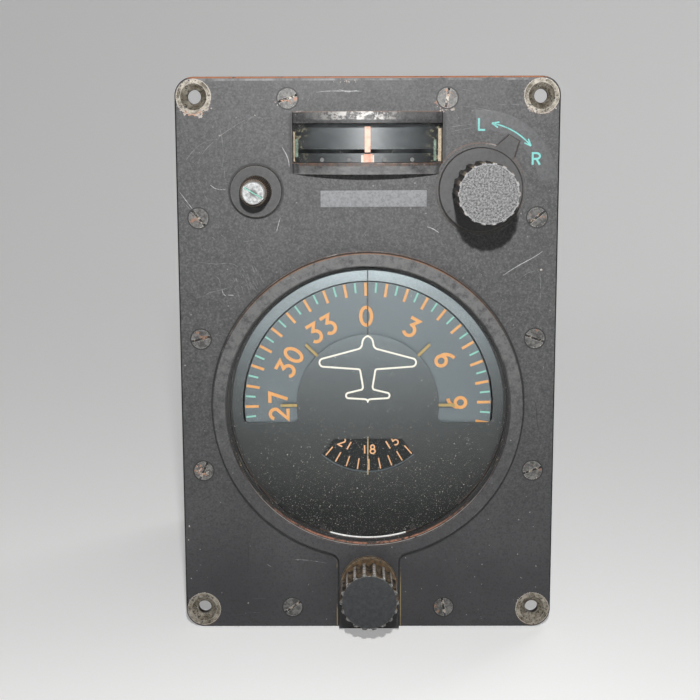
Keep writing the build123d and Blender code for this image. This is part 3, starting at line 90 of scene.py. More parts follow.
def make_piece(name, points_mm, faces, body, finish):
    """A flat-shaded mesh object from points in millimetres, welded, its faces turned outwards, riding on a body."""
    mesh = bpy.data.meshes.new(name)
    mesh.from_pydata((np.asarray(points_mm) * MM).tolist(), [], np.asarray(faces).tolist())
    mesh.validate()
    piece = bpy.data.objects.new(name, mesh)
    bpy.context.scene.collection.objects.link(piece)
    welded = bmesh.new()
    welded.from_mesh(mesh)
    bmesh.ops.remove_doubles(welded, verts=welded.verts, dist=1e-7)
    bmesh.ops.recalc_face_normals(welded, faces=welded.faces)
    welded.to_mesh(mesh)
    welded.free()
    mesh.polygons.foreach_set("use_smooth", [False] * len(mesh.polygons))
    mesh.materials.append(finishes[finish])
    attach(piece, body)


def stand(flat, lift, y_mm, centre=(0.0, 0.0), turn=0.0):
    """Places sketch points (u right, v up) on a plane that faces -Y.

    A point is turned clockwise by `turn` degrees about the sketch's origin, moved to the centre in X and Z,
    and raised by its lift towards -Y.
    """
    a = math.radians(-turn)
    u = flat[..., 0] * math.cos(a) - flat[..., 1] * math.sin(a)
    v = flat[..., 0] * math.sin(a) + flat[..., 1] * math.cos(a)
    return np.stack([centre[0] + u, y_mm - lift + 0 * u, centre[1] + v], -1)


def paint_stroke(path, width, height, closed=False):
    """Bead of paint along a flat path, as (points, faces) with lift in the third column.

    At each path point the cross-section is a low arch, width wide and height high, at right angles to the
    path's direction there; an open path ends in a section drawn in to its middle.
    """
    path = np.asarray(path, float)
    width = np.broadcast_to(width, len(path))[:, None, None]
    ahead = np.roll(path, -1, 0) - path
    behind = path - np.roll(path, 1, 0)
    if not closed:
        ahead[-1], behind[0] = behind[-1], ahead[0]
    ahead /= np.linalg.norm(ahead, axis=1, keepdims=True) + 1e-12
    behind /= np.linalg.norm(behind, axis=1, keepdims=True) + 1e-12
    along = ahead + behind
    along /= np.linalg.norm(along, axis=1, keepdims=True) + 1e-12
    across = np.stack([-along[:, 1], along[:, 0]], 1)
    stretch = 1 / np.clip((along * ahead).sum(1), 0.5, 1.0)
    sides = np.array([-0.5, -0.42, 0.0, 0.42, 0.5, 0.5, -0.5])
    lifts = np.array([0.55, 0.9, 1.0, 0.9, 0.55, 0.0, 0.0])
    flat = path[:, None, :] + across[:, None, :] * (sides[None, :, None] * width * stretch[:, None, None])
    lift = np.broadcast_to(lifts[None, :, None] * height, flat.shape[:2] + (1,))
    points = np.concatenate([flat, lift], -1)
    faces = grid_faces(len(path), len(sides), closed, True)
    points = points.reshape(-1, 3)
    if not closed:
        ends = []
        for row, order in ((0, 1), (len(path) - 1, -1)):
            rim = row * len(sides) + np.arange(len(sides))[::order]
            hub = len(points)
            middle = points[rim].mean(0)
            points = np.vstack([points, middle])
            ends.append(np.stack([rim, np.roll(rim, -1), np.full(len(rim), hub), np.full(len(rim), hub)], 1))
        faces = np.concatenate([faces] + ends)
    return points, faces


def strokes_on(strokes, y_mm, centre=(0.0, 0.0), turn=0.0):
    """Places beads of paint on a plane that faces -Y."""
    return join([(stand(p[:, :2], p[:, 2], y_mm, centre, turn), f) for p, f in strokes])


def paint(name, finish, strokes, y_mm, centre=(0.0, 0.0), turn=0.0, body="frame"):
    """A mark of one or more beads of paint on a plane that faces -Y."""
    make_piece(name, *strokes_on(strokes, y_mm, centre, turn), body, finish)


def scratch(points, width, lift=0.015):
    """Fine scratch through some points: straight runs rounded off, its width w * sin(pi * t) ** 0.5 at share t."""
    points = np.asarray(points, float)
    run = np.concatenate([[0], np.cumsum(np.linalg.norm(np.diff(points, axis=0), axis=1))])
    t = np.linspace(0, 1, 4 * len(points) + 5)
    path = np.stack([np.interp(t * run[-1], run, points[:, k]) for k in (0, 1)], 1)
    for _ in range(3):
        path[1:-1] = (path[:-2] + 2 * path[1:-1] + path[2:]) / 4
    return paint_stroke(path, width * np.sqrt(np.sin(np.pi * (0.04 + 0.92 * t))), lift)


def flakes(places, sizes, y_mm, height=0.03, spokes=11):
    """Chips where enamel is gone: low domes of radius s * (1 + a sin 2v + b sin 3v) and lift h * (1 - q ** 4)."""
    v = np.arange(spokes) * 2 * np.pi / spokes
    places, sizes = np.asarray(places), np.asarray(sizes)
    inside = (np.abs(places) + 1.4 * sizes[:, None] < PANEL_REACH).all(1)
    places, sizes = places[inside], sizes[inside]
    made = []
    for (x, z), size in zip(places, sizes):
        wave = rng.uniform(-0.28, 0.28, 2)
        start = rng.uniform(0, 6.28, 2)
        radius = size * (1 + wave[0] * np.sin(2 * v + start[0]) + wave[1] * np.sin(3 * v + start[1]))
        share = np.array([0.0, 0.55, 0.85, 1.0, 1.0, 0.0])[:, None]
        lift = height * np.array([1.0, 0.91, 0.48, 0.2, 0.0, 0.0])[:, None]
        reach = share * radius
        points = np.stack([x + reach * np.cos(v), y_mm - lift + 0 * reach, z + reach * np.sin(v)], -1)
        made.append((points.reshape(-1, 3), grid_faces(6, spokes, False, True)))
    return join(made)


def round_about(centre, radii, angles, count):
    """Random places in a sector round a centre, crowded towards its inner radius."""
    a = np.radians(rng.uniform(*angles, count))
    r = radii[0] + (radii[1] - radii[0]) * rng.uniform(0, 1, count) ** 2
    return np.stack([centre[0] + r * np.cos(a), centre[1] + r * np.sin(a)], 1)


def on_scale(flat, lift):
    """Places points (x, z) on the window's curved scale: y = middle - sqrt((radius + lift) ** 2 - x ** 2)."""
    x = flat[..., 0]
    return np.stack([x, METER_Y - np.sqrt((SCALE_R + lift) ** 2 - x ** 2), flat[..., 1]], -1)


def arc(cx, cy, radius_x, radius_y, start, end, count=18):
    """Points of an ellipse's arc, by angles anticlockwise from the right."""
    t = np.radians(np.linspace(start, end, count))
    return np.stack([cx + radius_x * np.cos(t), cy + radius_y * np.sin(t)], 1)


def path_of(*bits):
    """One path from runs of points, without repeated points."""
    joined = np.concatenate([np.atleast_2d(np.asarray(b, float)) for b in bits])
    keep = np.ones(len(joined), bool)
    keep[1:] = np.linalg.norm(np.diff(joined, axis=0), axis=1) > 1e-4
    return joined[keep]


SIX = path_of(arc(0.72, -0.30, 1.27, 1.32, 101, 168, 14), arc(0, -0.42, 0.56, 0.58, 160, -200, 34))
NUMERALS = {
    "0": [(arc(0, 0, 0.60, 1.0, 0, 350, 36), True)],
    "1": [(path_of((0, -1.0), (0, 1.0)), False)],
    "2": [(path_of(arc(0, 0.42, 0.56, 0.58, 165, -20, 20), (-0.58, -1.0), (0.60, -1.0)), False)],
    "3": [(path_of((-0.55, 1.0), (0.50, 1.0), (-0.06, 0.26), arc(-0.04, -0.38, 0.60, 0.62, 88, -148, 24)), False)],
    "4": [(path_of((0.30, -1.0), (0.30, 1.0), (-0.60, -0.42), (0.62, -0.42)), False)],
    "5": [(path_of((0.46, 1.0), (-0.40, 1.0), (-0.46, 0.16), arc(-0.04, -0.38, 0.60, 0.62, 120, -148, 24)), False)],
    "6": [(SIX, False)],
    "7": [(path_of((-0.56, 1.0), (0.56, 1.0), (-0.14, -1.0)), False)],
    "8": [(arc(0, 0.49, 0.44, 0.51, -90, 255, 28), True), (arc(0, -0.49, 0.57, 0.53, 90, 435, 28), True)],
    "9": [(-SIX, False)],
}


def number_strokes(text, height, stroke, lift, pitch):
    """Beads of paint for a whole number, its digits side by side about its middle.

    NUMERALS holds each digit's centrelines, 1 wide and 2 high round its middle, as (path, closed) pairs.
    """
    made = []
    half = (height - stroke) / 2
    for place, digit in enumerate(text):
        shift = (place - (len(text) - 1) / 2) * pitch
        for path, closed in NUMERALS[digit]:
            made.append(paint_stroke(path * half + (shift, 0), stroke, lift, closed))
    return made


def boxes_round(angles, inner, outer, width, lift, y_mm, turn=0.0):
    """Radial bars on the dial: at each angle, clockwise from the top, a bar from one radius to the other."""
    made = []
    for angle in angles:
        bar = paint_stroke(path_of((0, inner), (0, outer)), width, lift)
        made.append(strokes_on([bar], y_mm, (0, DIAL_Z), angle + turn))
    return join(made)


# Finishes

class Nodes:
    """Adds nodes to one tree; lengths go in as metres unless a name ends in _mm."""

    def __init__(self, tree):
        self.tree = tree

    def feed(self, node, feeds):
        """Gives a node's inputs, as values or as other nodes' outputs."""
        for key, value in feeds.items():
            if isinstance(value, bpy.types.NodeSocket):
                self.tree.links.new(value, node.inputs[key])
            else:
                node.inputs[key].default_value = value

    def put(self, kind, feeds=None, **settings):
        """Adds a node."""
        made = self.tree.nodes.new(kind)
        for key, value in settings.items():
            setattr(made, key, value)
        self.feed(made, feeds or {})
        return made

    def spot(self, scale=(1, 1, 1), turn=(0, 0, 0), shift=(0, 0, 0)):
        """Object coordinates through a Mapping."""
        where = self.put("ShaderNodeTexCoord").outputs["Object"]
        return self.put("ShaderNodeMapping", {"Vector": where, "Scale": scale, "Rotation": turn,
                                              "Location": shift}).outputs[0]

    def noise(self, per_metre, detail, rough, **where):
        """Noise value, at a spot stretched, turned or shifted as asked."""
        return self.put("ShaderNodeTexNoise", {"Vector": self.spot(**where), "Scale": per_metre, "Detail": detail,
                                               "Roughness": rough}).outputs[0]

    def span(self, value, low, high, to_low=0.0, to_high=1.0):
        """A value's stretch from low to high mapped to another, and held at its ends."""
        return self.put("ShaderNodeMapRange", {"Value": value, "From Min": low, "From Max": high,
                                               "To Min": to_low, "To Max": to_high}).outputs[0]

    def span_mm(self, value, low_mm, high_mm, *to):
        """The same for a stretch in millimetres."""
        return self.span(value, low_mm * MM, high_mm * MM, *to)

    def sums(self, how, a, b=0.0, c=0.0):
        """One step of arithmetic."""
        return self.put("ShaderNodeMath", {0: a, 1: b, 2: c}, operation=how).outputs[0]

    def product(self, made, *values):
        """Several values multiplied together."""
        for value in values:
            made = self.sums("MULTIPLY", made, value)
        return made

    def highest(self, made, *values):
        """The greatest of several values."""
        for value in values:
            made = self.sums("MAXIMUM", made, value)
        return made

    def mixed(self, share, a, b, how="MIX"):
        """Two colours mixed by a share."""
        a, b = (value if isinstance(value, bpy.types.NodeSocket) else (*value, 1.0) for value in (a, b))
        return self.put("ShaderNodeMix", data_type="RGBA", blend_type=how, feeds={0: share, 6: a, 7: b}).outputs[2]

    def ramp(self, value, stops):
        """A grey read off a line through (place, level) stops."""
        node = self.put("ShaderNodeValToRGB", {0: value})
        line = node.color_ramp.elements
        while len(line) < len(stops):
            line.new(0.5)
        for mark, (place, level) in zip(line, stops):
            mark.position, mark.color = place, (level, level, level, 1.0)
        return node.outputs[0]

    def within(self, value, low_mm, high_mm, soft_mm):
        """1 between two limits and 0 beyond them, with soft ends."""
        return self.product(self.span_mm(value, low_mm - soft_mm, low_mm),
                            self.span_mm(value, high_mm, high_mm + soft_mm, 1.0, 0.0))

    def split(self):
        """The three Object coordinates."""
        where = self.put("ShaderNodeTexCoord").outputs["Object"]
        return self.put("ShaderNodeSeparateXYZ", {0: where}).outputs

    def distance_to(self, x_mm, z_mm):
        """Distance from a line along Y."""
        x, _, z = self.split()
        return self.sums("SQRT", self.sums("ADD", self.sums("POWER", self.sums("SUBTRACT", x, x_mm * MM), 2.0),
                                           self.sums("POWER", self.sums("SUBTRACT", z, z_mm * MM), 2.0)))

    def streaks(self, angle, seed, low, high, along, across):
        """Fine scratches all one way: noise drawn out along a direction in the XZ plane, only its crests kept."""
        return self.span(self.noise(1.0, 2.0, 0.5, scale=(along, 1.0, across), turn=(0, math.radians(angle), 0),
                                    shift=(seed, 0, seed * 2)), low, high)

    def worn_edges(self, radius_mm, low, high):
        """How near an edge is, by how far the rounded normal turns from the true one, and how far it looks up."""
        rounded = self.put("ShaderNodeBevel", {"Radius": radius_mm * MM}, samples=6).outputs[0]
        true = self.put("ShaderNodeNewGeometry").outputs["Normal"]
        likeness = self.put("ShaderNodeVectorMath", {0: rounded, 1: true}, operation="DOT_PRODUCT").outputs["Value"]
        upward = self.span(self.put("ShaderNodeSeparateXYZ", {0: rounded}).outputs[2], 0.15, 0.6)
        return self.span(self.sums("SUBTRACT", 1.0, likeness), low, high), upward

    def seen_rays(self):
        """How much a ray shows of the pale background: all for camera and transmission, some for glossy, else none."""
        ray = self.put("ShaderNodeLightPath").outputs
        direct = self.highest(ray["Is Camera Ray"], ray["Is Transmission Ray"])
        return self.highest(direct, self.product(ray["Is Glossy Ray"], GLOSSY_SHARE))


class Finish(Nodes):
    """A new material: its nodes, its shader, and its base colour so far."""

    def __init__(self, name):
        self.material = bpy.data.materials.new(name)
        self.material.use_nodes = True
        super().__init__(self.material.node_tree)
        self.tree.nodes.clear()
        self.shader = self.put("ShaderNodeBsdfPrincipled")
        self.put("ShaderNodeOutputMaterial", {"Surface": self.shader.outputs[0]})
        self.base = (0.0, 0.0, 0.0, 1.0)

    def coat(self, share, colour):
        """Lays a colour over the base colour by a share."""
        self.base = self.mixed(share, self.base, colour)

    def finished(self, feeds, height=None, strength=0.0, distance=0.0):
        """The material, with its base colour, its other inputs and a height as bump on its shader."""
        self.feed(self.shader, {"Base Color": self.base, **feeds})
        if height is not None:
            bump = self.put("ShaderNodeBump", {"Height": height, "Strength": strength, "Distance": distance})
            self.feed(self.shader, {"Normal": bump.outputs[0]})
        return self.material


BARE = (0.50, 0.48, 0.46)
BROWN = (0.170, 0.090, 0.055)


def panel_enamel():
    """Satin black enamel on the front casting: rubbed brown along edges that look up, partly a painted highlight there,
    bare on the window's lips, a painted highlight on the lower lip of the glass bore, paler towards the top as painted
    light and more scratched there, and painted shade round the ring's root, beside the lower strip and the hood, down
    the glass bore and along the panel's sides."""
    m = Finish("black_enamel")
    x, y, z = m.split()
    cloud = m.noise(26.0, 5.0, 0.62)
    grain = m.noise(1500.0, 3.0, 0.7)
    fine = m.noise(420.0, 5.0, 0.68)
    # Painted light: the enamel is paler towards the top, where the lamp above falls; the same ramp adds more scratches
    # up there.
    painted_light_and_wear_up_top = m.span_mm(z, -78, 8)
    m.base = m.mixed(m.span(cloud, 0.35, 0.68), (0.023, 0.023, 0.026), (0.038, 0.038, 0.041))
    m.coat(m.product(painted_light_and_wear_up_top, m.span(fine, 0.25, 0.80), 0.85), (0.092, 0.091, 0.089))
    speckle = m.noise(1250.0, 3.0, 0.8, shift=(7, 0, 2))
    m.coat(m.span(speckle, 0.52, 0.62, 0.0, 0.55), (0.010, 0.010, 0.010))
    m.coat(m.product(painted_light_and_wear_up_top, m.span(speckle, 0.47, 0.38, 0.0, 0.40)), (0.150, 0.150, 0.148))
    blot = m.noise(90.0, 4.0, 0.65, shift=(4, 0, 4))
    m.coat(m.product(painted_light_and_wear_up_top, m.span(blot, 0.52, 0.72), 0.25), (0.105, 0.104, 0.102))
    ways = ((24, 1.3, 0.68, 0.74), (-38, 5.1, 0.69, 0.75), (68, 9.7, 0.70, 0.76), (-74, 3.9, 0.70, 0.76))
    marks = m.highest(*[m.streaks(*way, 60.0, 2600.0) for way in ways])
    scuffed = m.span(m.noise(38.0, 3.0, 0.5), 0.46, 0.66)
    marks = m.product(marks, scuffed, m.span(painted_light_and_wear_up_top, 0.0, 0.7, 0.35, 1.0))
    m.coat(m.product(marks, 0.55), (0.17, 0.17, 0.175))
    specks = m.span(m.noise(760.0, 2.0, 0.4, shift=(2, 0, 1)), 0.745, 0.765)
    m.coat(m.product(specks, 0.6), (0.30, 0.29, 0.27))
    away = m.distance_to(0.0, DIAL_Z)
    aside = m.sums("ABSOLUTE", x)
    strip_side = m.sums("ABSOLUTE", m.sums("SUBTRACT", x, CAGING[0] * MM))
    on_face = m.span_mm(y, FACE_Y - 0.3, FACE_Y - 0.2)
    below_ring = m.span_mm(z, -71, -73)
    # Painted shade: near-black at the ring's root, beside the lower strip and the hood, down the glass bore and along
    # the panel's sides.
    dark = m.highest(m.product(m.within(away, 55.1, 55.95, 0.2), m.span_mm(z, 34, 22)),
                     m.product(m.within(strip_side, 10.8, 11.25, 0.2), below_ring))
    dark = m.product(m.highest(dark, m.product(m.within(aside, 26.0, 26.7, 0.9), m.within(z, 66.5, 86.5, 0.8), 0.8)),
                     on_face)
    dark = m.highest(dark, m.within(away, 45.0, 50.3, 0.05))
    dark = m.highest(dark, m.span_mm(aside, 66.1, 66.3))
    m.coat(dark, (0.004, 0.004, 0.004))
    ochre = m.product(m.within(strip_side, 11.45, 11.7, 0.12), below_ring, on_face,
                      m.span(m.noise(300.0, 4.0, 0.6, scale=(1, 1, 0.3)), 0.44, 0.54))
    m.coat(ochre, (0.20, 0.15, 0.065))
    # Brown and bare along edges that look up: wear, and partly a painted highlight where light from above catches them.
    edge, upward = m.worn_edges(0.8, 0.012, 0.16)
    patchy = m.span(m.noise(300.0, 5.0, 0.7), 0.50, 0.58)
    long_patch = m.span(m.noise(50.0, 3.0, 0.6), 0.46, 0.62)
    brown = m.product(edge, m.span(fine, 0.28, 0.5), m.sums("ADD", m.product(upward, 0.9), 0.06))
    bare = m.product(edge, patchy, long_patch, m.sums("ADD", m.product(upward, 0.6), 0.3))
    ahead_of_face = m.span_mm(y, FACE_Y - 1.6, FACE_Y - 1.2, 1.0, 0.0)
    top_lip = m.product(m.within(z, LIP_HIGH[0] + 1.4, LIP_HIGH[1] + 1, 0.5), ahead_of_face)
    silver = m.product(top_lip, m.within(x, -10.0, 4.0, 9.0), m.span(m.noise(620.0, 5.0, 0.75), 0.44, 0.56))
    low_lip = m.product(m.within(z, LIP_LOW[0], LIP_LOW[1] - 1.2, 0.3), ahead_of_face)
    rubbed = m.product(m.sums("ADD", low_lip, m.product(top_lip, 0.6)),
                       m.span(m.noise(300.0, 5.0, 0.7, scale=(0.4, 1, 1)), 0.34, 0.62), 0.85)
    lip_brown = m.product(m.within(z, LIP_LOW[1] - 0.9, LIP_LOW[1] + 0.5, 0.25), ahead_of_face,
                          m.span(fine, 0.40, 0.60), 0.6)
    # Brown along the ring's top edge: wear, partly a painted highlight.
    crown_wear_and_highlight = m.product(m.within(away, 54.75, 55.5, 0.1), m.span_mm(y, -8.4, -8.3, 1.0, 0.0), m.span_mm(z, 12, 30),
                      m.span(fine, 0.34, 0.48))
    top_edge = m.product(m.span_mm(z, 98.55, 98.75), m.span(fine, 0.30, 0.44))
    top_shine = m.product(m.within(z, 97.9, 98.3, 0.25), on_face,
                          m.span(m.noise(120.0, 5.0, 0.7, scale=(1, 1, 0.2)), 0.42, 0.62), 0.7)
    # Painted highlight: bare metal on the bore's lower lip, where light falls into the bore; it joins the real wear in
    # bare.
    bore_lip_painted_highlight = m.product(m.within(away, 49.8, 50.5, 0.05), m.span_mm(y, -8.5, -8.4, 1.0, 0.0),
                         m.span_mm(z, DIAL_Z - 22, DIAL_Z - 36), m.span(fine, 0.30, 0.42))
    bare = m.highest(bare, m.highest(silver, bore_lip_painted_highlight))
    ring_top = m.product(m.span_mm(y, RING_Y + 0.6, RING_Y + 0.5), m.within(away, 50.4, 54.8, 0.3),
                         m.span_mm(z, DIAL_Z - 20, DIAL_Z + 40), m.span(fine, 0.36, 0.56), 0.8)
    m.coat(ring_top, (0.130, 0.130, 0.128))
    m.coat(rubbed, (0.190, 0.190, 0.188))
    m.coat(top_shine, (0.30, 0.30, 0.30))
    m.coat(m.highest(brown, lip_brown), BROWN)
    m.coat(crown_wear_and_highlight, (0.150, 0.078, 0.044))
    m.coat(top_edge, (0.40, 0.150, 0.065))
    m.coat(bare, BARE)
    rough = m.sums("ADD", m.span(cloud, 0.3, 0.7, 0.45, 0.54), m.product(marks, 0.12))
    height = m.sums("SUBTRACT", m.sums("ADD", m.product(grain, 0.35), fine), m.product(m.highest(marks, bare), 0.8))
    return m.finished({"Metallic": m.product(bare, 0.5), "Roughness": rough}, height, 0.20, 0.0001)


def rubbed_enamel(name, dark, light, edge_colour, edge_low=0.40, rough=0.46):
    """Black enamel of the small fittings, rubbed through along every edge, more on edges that look up, the paler edge
    partly a painted highlight.
    """
    m = Finish(name)
    fine = m.noise(800.0, 5.0, 0.7)
    cloud = m.noise(120.0, 4.0, 0.6)
    edge, upward = m.worn_edges(0.45, 0.02, 0.2)
    m.base = m.mixed(m.span(fine, 0.35, 0.70), dark, light)
    share = m.product(edge, m.span(fine, edge_low, edge_low + 0.12), m.span(upward, 0.0, 1.0, 0.55, 1.0))
    m.coat(share, edge_colour)
    return m.finished({"Roughness": m.span(cloud, 0.3, 0.7, rough - 0.05, rough + 0.06)}, fine, 0.22, 0.0001)


def plain_metal(name, colour, rough, metallic=1.0, grime=(0.10, 0.08, 0.06), grime_share=0.35):
    """Bare metal with dulled patches and fine scratches."""
    m = Finish(name)
    patches = m.noise(300.0, 4.0, 0.65)
    fine = m.noise(2600.0, 3.0, 0.6)
    m.base = m.mixed(m.span(patches, 0.40, 0.68, 0.0, grime_share), colour, grime)
    return m.finished({"Metallic": metallic,
                       "Roughness": m.sums("ADD", m.span(patches, 0.3, 0.7, rough - 0.06, rough + 0.12),
                                           m.span(fine, 0.3, 0.7, -0.04, 0.04))}, fine, 0.15, 0.00005)


def bare_bushing():
    """Dull bare metal of the corner bushings: tan and pitted, darkened down the hole as painted shade, rubbed pale on
    the rim.
    """
    m = Finish("bare_bushing")
    _, y, _ = m.split()
    patches = m.noise(330.0, 5.0, 0.7)
    fine = m.noise(1300.0, 4.0, 0.7)
    m.base = m.mixed(m.span(patches, 0.38, 0.62), (0.34, 0.31, 0.26), (0.110, 0.092, 0.064))
    m.coat(m.span(fine, 0.53, 0.60, 0.0, 0.95), (0.016, 0.014, 0.011))
    edge, _ = m.worn_edges(0.5, 0.02, 0.2)
    m.coat(m.product(edge, m.span(patches, 0.40, 0.50), 0.9), (0.74, 0.69, 0.62))
    # Painted shade down the hole.
    deep = m.span_mm(y, FACE_Y + 2.0, FACE_Y + 2.6, 0.0, 0.85)
    m.coat(deep, (0.020, 0.018, 0.015))
    return m.finished({"Metallic": 0.35, "Roughness": m.span(patches, 0.3, 0.7, 0.36, 0.56)},
                      m.sums("ADD", patches, fine), 0.45, 0.00015)


def worn_screw():
    """Flat screw heads once enamelled with the panel: grey-brown, bright round their rims, their slots darkened as
    painted shade, with dirt in them.
    """
    m = Finish("worn_screw")
    _, y, _ = m.split()
    patches = m.noise(620.0, 5.0, 0.72)
    m.base = m.mixed(m.span(patches, 0.42, 0.60), (0.050, 0.049, 0.047), (0.155, 0.152, 0.145))
    edge, _ = m.worn_edges(0.32, 0.03, 0.25)
    m.coat(m.product(edge, m.span(patches, 0.36, 0.50), 0.95), (0.54, 0.52, 0.49))
    # Painted shade in the slots, with dirt laid over it.
    slot = m.span_mm(y, FACE_Y + 0.45, FACE_Y + 0.6)
    m.coat(slot, (0.020, 0.019, 0.017))
    m.coat(m.product(slot, m.span(m.noise(700.0, 4.0, 0.6, shift=(1, 2, 3)), 0.50, 0.58)), (0.36, 0.32, 0.27))
    rusty = m.span(m.noise(330.0, 4.0, 0.6, shift=(3, 1, 2)), 0.60, 0.66)
    m.coat(m.product(rusty, 0.7), (0.30, 0.145, 0.085))
    return m.finished({"Metallic": 0.3, "Roughness": m.span(patches, 0.3, 0.7, 0.36, 0.52)}, patches, 0.4, 0.0001)


def printed_plate(name, dark, light, rough):
    """Matte lacquer of the inner plates, with a fine grain."""
    m = Finish(name)
    cloud = m.noise(30.0, 4.0, 0.6)
    grain = m.noise(1900.0, 3.0, 0.7)
    m.base = m.mixed(m.span(grain, 0.3, 0.7, 0.0, 0.5), dark, light)
    m.coat(m.span(cloud, 0.4, 0.7, 0.0, 0.25), light)
    return m.finished({"Roughness": m.span(cloud, 0.3, 0.7, rough - 0.03, rough + 0.05)}, grain, 0.12, 0.00005)


def mask_lacquer():
    """Satin grey-green lacquer of the mask plate, painted light making it pale round the top and nearly black below,
    and dusty below.
    """
    m = Finish("mask_lacquer")
    _, _, z = m.split()
    grain = m.noise(1700.0, 3.0, 0.7)
    cloud = m.noise(40.0, 4.0, 0.6)
    # Painted light: the lacquer's brightness and tint ramp with height, pale round the top and nearly black below.
    level = m.ramp(m.span_mm(z, -56, 34),
                   ((0.0, 0.018), (0.15, 0.040), (0.36, 0.066), (0.56, 0.118), (0.71, 0.185), (0.79, 0.250),
                    (0.89, 0.262), (0.98, 0.400)))
    tint = m.mixed(m.span_mm(z, -40, 10), (0.96, 1.0, 0.98), (0.86, 1.0, 1.05))
    m.base = m.mixed(1.0, level, tint, "MULTIPLY")
    m.coat(m.span(grain, 0.3, 0.7, 0.0, 0.25), (0.010, 0.013, 0.012))
    foot = m.span_mm(z, DIAL_Z + 2, DIAL_Z - 45)
    dirt = m.product(foot, m.span(m.noise(1100.0, 4.0, 0.8), 0.56, 0.68), m.span(cloud, 0.3, 0.7, 0.35, 1.0))
    m.coat(dirt, (0.090, 0.095, 0.080))
    return m.finished({"Metallic": 0.8, "Roughness": m.span(cloud, 0.3, 0.7, 0.43, 0.465)}, grain, 0.10, 0.00005)


def card_lacquer():
    """Satin blue-grey lacquer of the azimuth card, the same all the way round, darkened nearly black inside its inner
    numbers as painted shade.
    """
    m = Finish("card_lacquer")
    grain = m.noise(1700.0, 3.0, 0.7)
    cloud = m.noise(40.0, 4.0, 0.6)
    away = m.distance_to(0.0, DIAL_Z)
    # Painted shade: nearly black inside 24.5 mm, where the mask shades the card.
    m.base = m.mixed(m.span_mm(away, 24.5, 24.8), (0.014, 0.016, 0.016), (0.146, 0.172, 0.183))
    m.coat(m.span(grain, 0.3, 0.7, 0.0, 0.25), (0.012, 0.015, 0.015))
    return m.finished({"Metallic": 0.8, "Roughness": m.span(cloud, 0.3, 0.7, 0.43, 0.465)}, grain, 0.10, 0.00005)


def scale_lacquer():
    """Blue-grey lacquer of the curved scale, darkened towards its ends as painted shade and mottled gold there, its
    studs black.
    """
    m = Finish("window_scale_lacquer")
    x, _, z = m.split()
    fine = m.noise(700.0, 5.0, 0.75)
    grain = m.noise(2200.0, 2.0, 0.6)
    low_part = m.span_mm(z, 73.4, 72.8)
    m.base = m.mixed(m.span(grain, 0.3, 0.7), (0.075, 0.088, 0.094), (0.125, 0.142, 0.148))
    m.coat(m.product(low_part, 0.5), (0.032, 0.036, 0.036))
    aside = m.sums("ABSOLUTE", x)
    # Painted shade: darker towards both ends of the scale, away from its lit middle.
    ends = m.span_mm(aside, 4, 23)
    m.coat(m.product(ends, 0.95), (0.008, 0.009, 0.009))
    gold = m.product(m.span_mm(aside, 19, 24), m.span(fine, 0.54, 0.60))
    m.coat(gold, (0.30, 0.27, 0.17))
    for stud_x, stud_z in STUDS:
        near = m.span_mm(m.distance_to(stud_x, stud_z), 0.95, 1.05, 1.0, 0.0)
        m.coat(near, (0.006, 0.006, 0.006))
    return m.finished({"Roughness": m.span(fine, 0.3, 0.7, 0.29, 0.35), "Specular IOR Level": 1.0}, grain, 0.10,
                      0.00005)


def split_ring_metal():
    """The split ring: blackened, with bare copper along its foot and gold chips up its sides."""
    m = Finish("split_ring_metal")
    _, _, z = m.split()
    fine = m.noise(520.0, 5.0, 0.7)
    foot = m.span_mm(z, DIAL_Z - 34, DIAL_Z - 47)
    copper = m.product(foot, m.span(fine, 0.40, 0.52))
    chips = m.product(m.span_mm(z, DIAL_Z + 10, DIAL_Z - 20), m.span(fine, 0.60, 0.64), 0.7)
    m.base = m.mixed(chips, (0.014, 0.014, 0.014), (0.36, 0.28, 0.16))
    m.coat(copper, (0.40, 0.19, 0.125))
    return m.finished({"Metallic": m.product(copper, 0.5), "Roughness": 0.42}, fine, 0.3, 0.0001)


def mark_paint(name, colour, faded, rough=0.55):
    """Printing ink or raised paint of the marks, faded here and there."""
    m = Finish(name)
    fade = m.noise(420.0, 4.0, 0.65)
    fine = m.noise(2400.0, 2.0, 0.6)
    m.base = m.mixed(m.span(fade, 0.40, 0.70, 0.0, 0.7), colour, faded)
    return m.finished({"Roughness": rough}, fine, 0.10, 0.00005)


def wire_paint():
    """The fine wires: dark olive above, tan in the lower opening."""
    m = Finish("wire_olive")
    _, _, z = m.split()
    fine = m.noise(900.0, 4.0, 0.6)
    low = m.span_mm(z, DIAL_Z - 10, DIAL_Z - 12)
    m.base = m.mixed(m.span(fine, 0.35, 0.65), (0.034, 0.029, 0.015), (0.060, 0.050, 0.024))
    m.coat(m.product(low, m.span(fine, 0.36, 0.46)), (0.40, 0.30, 0.15))
    return m.finished({"Roughness": 0.4}, fine, 0.1, 0.00005)


def broken_paint(name, colour, under, scale=700.0, low=0.40, high=0.58, rough=0.5):
    """A mark worn through to the enamel under it in a fine mottle."""
    m = Finish(name)
    fine = m.noise(scale, 5.0, 0.72)
    return m.finished({"Base Color": m.mixed(m.span(fine, low, high), under, colour), "Roughness": rough}, fine, 0.2,
                      0.0001)


def cap_metal():
    """Dull silver of the adjuster's cap: mottled, darkened at its middle as painted shade of a small hollow, with a
    painted highlight at its rim.
    """
    m = Finish("cap_silver")
    fine = m.noise(900.0, 5.0, 0.72)
    away = m.distance_to(*ADJUSTER)
    m.base = m.mixed(m.span(fine, 0.38, 0.60), (0.16, 0.165, 0.165), (0.46, 0.475, 0.47))
    # Painted shade of a small hollow at the cap's middle.
    m.coat(m.span_mm(away, 1.5, 1.0, 0.0, 0.8), (0.085, 0.085, 0.083))
    # Painted highlight round the cap's rim.
    m.coat(m.span_mm(away, 3.25, 3.5, 0.0, 0.5), (0.70, 0.70, 0.68))
    return m.finished({"Metallic": 0.4, "Roughness": m.span(fine, 0.3, 0.7, 0.38, 0.50)}, fine, 0.25, 0.0001)


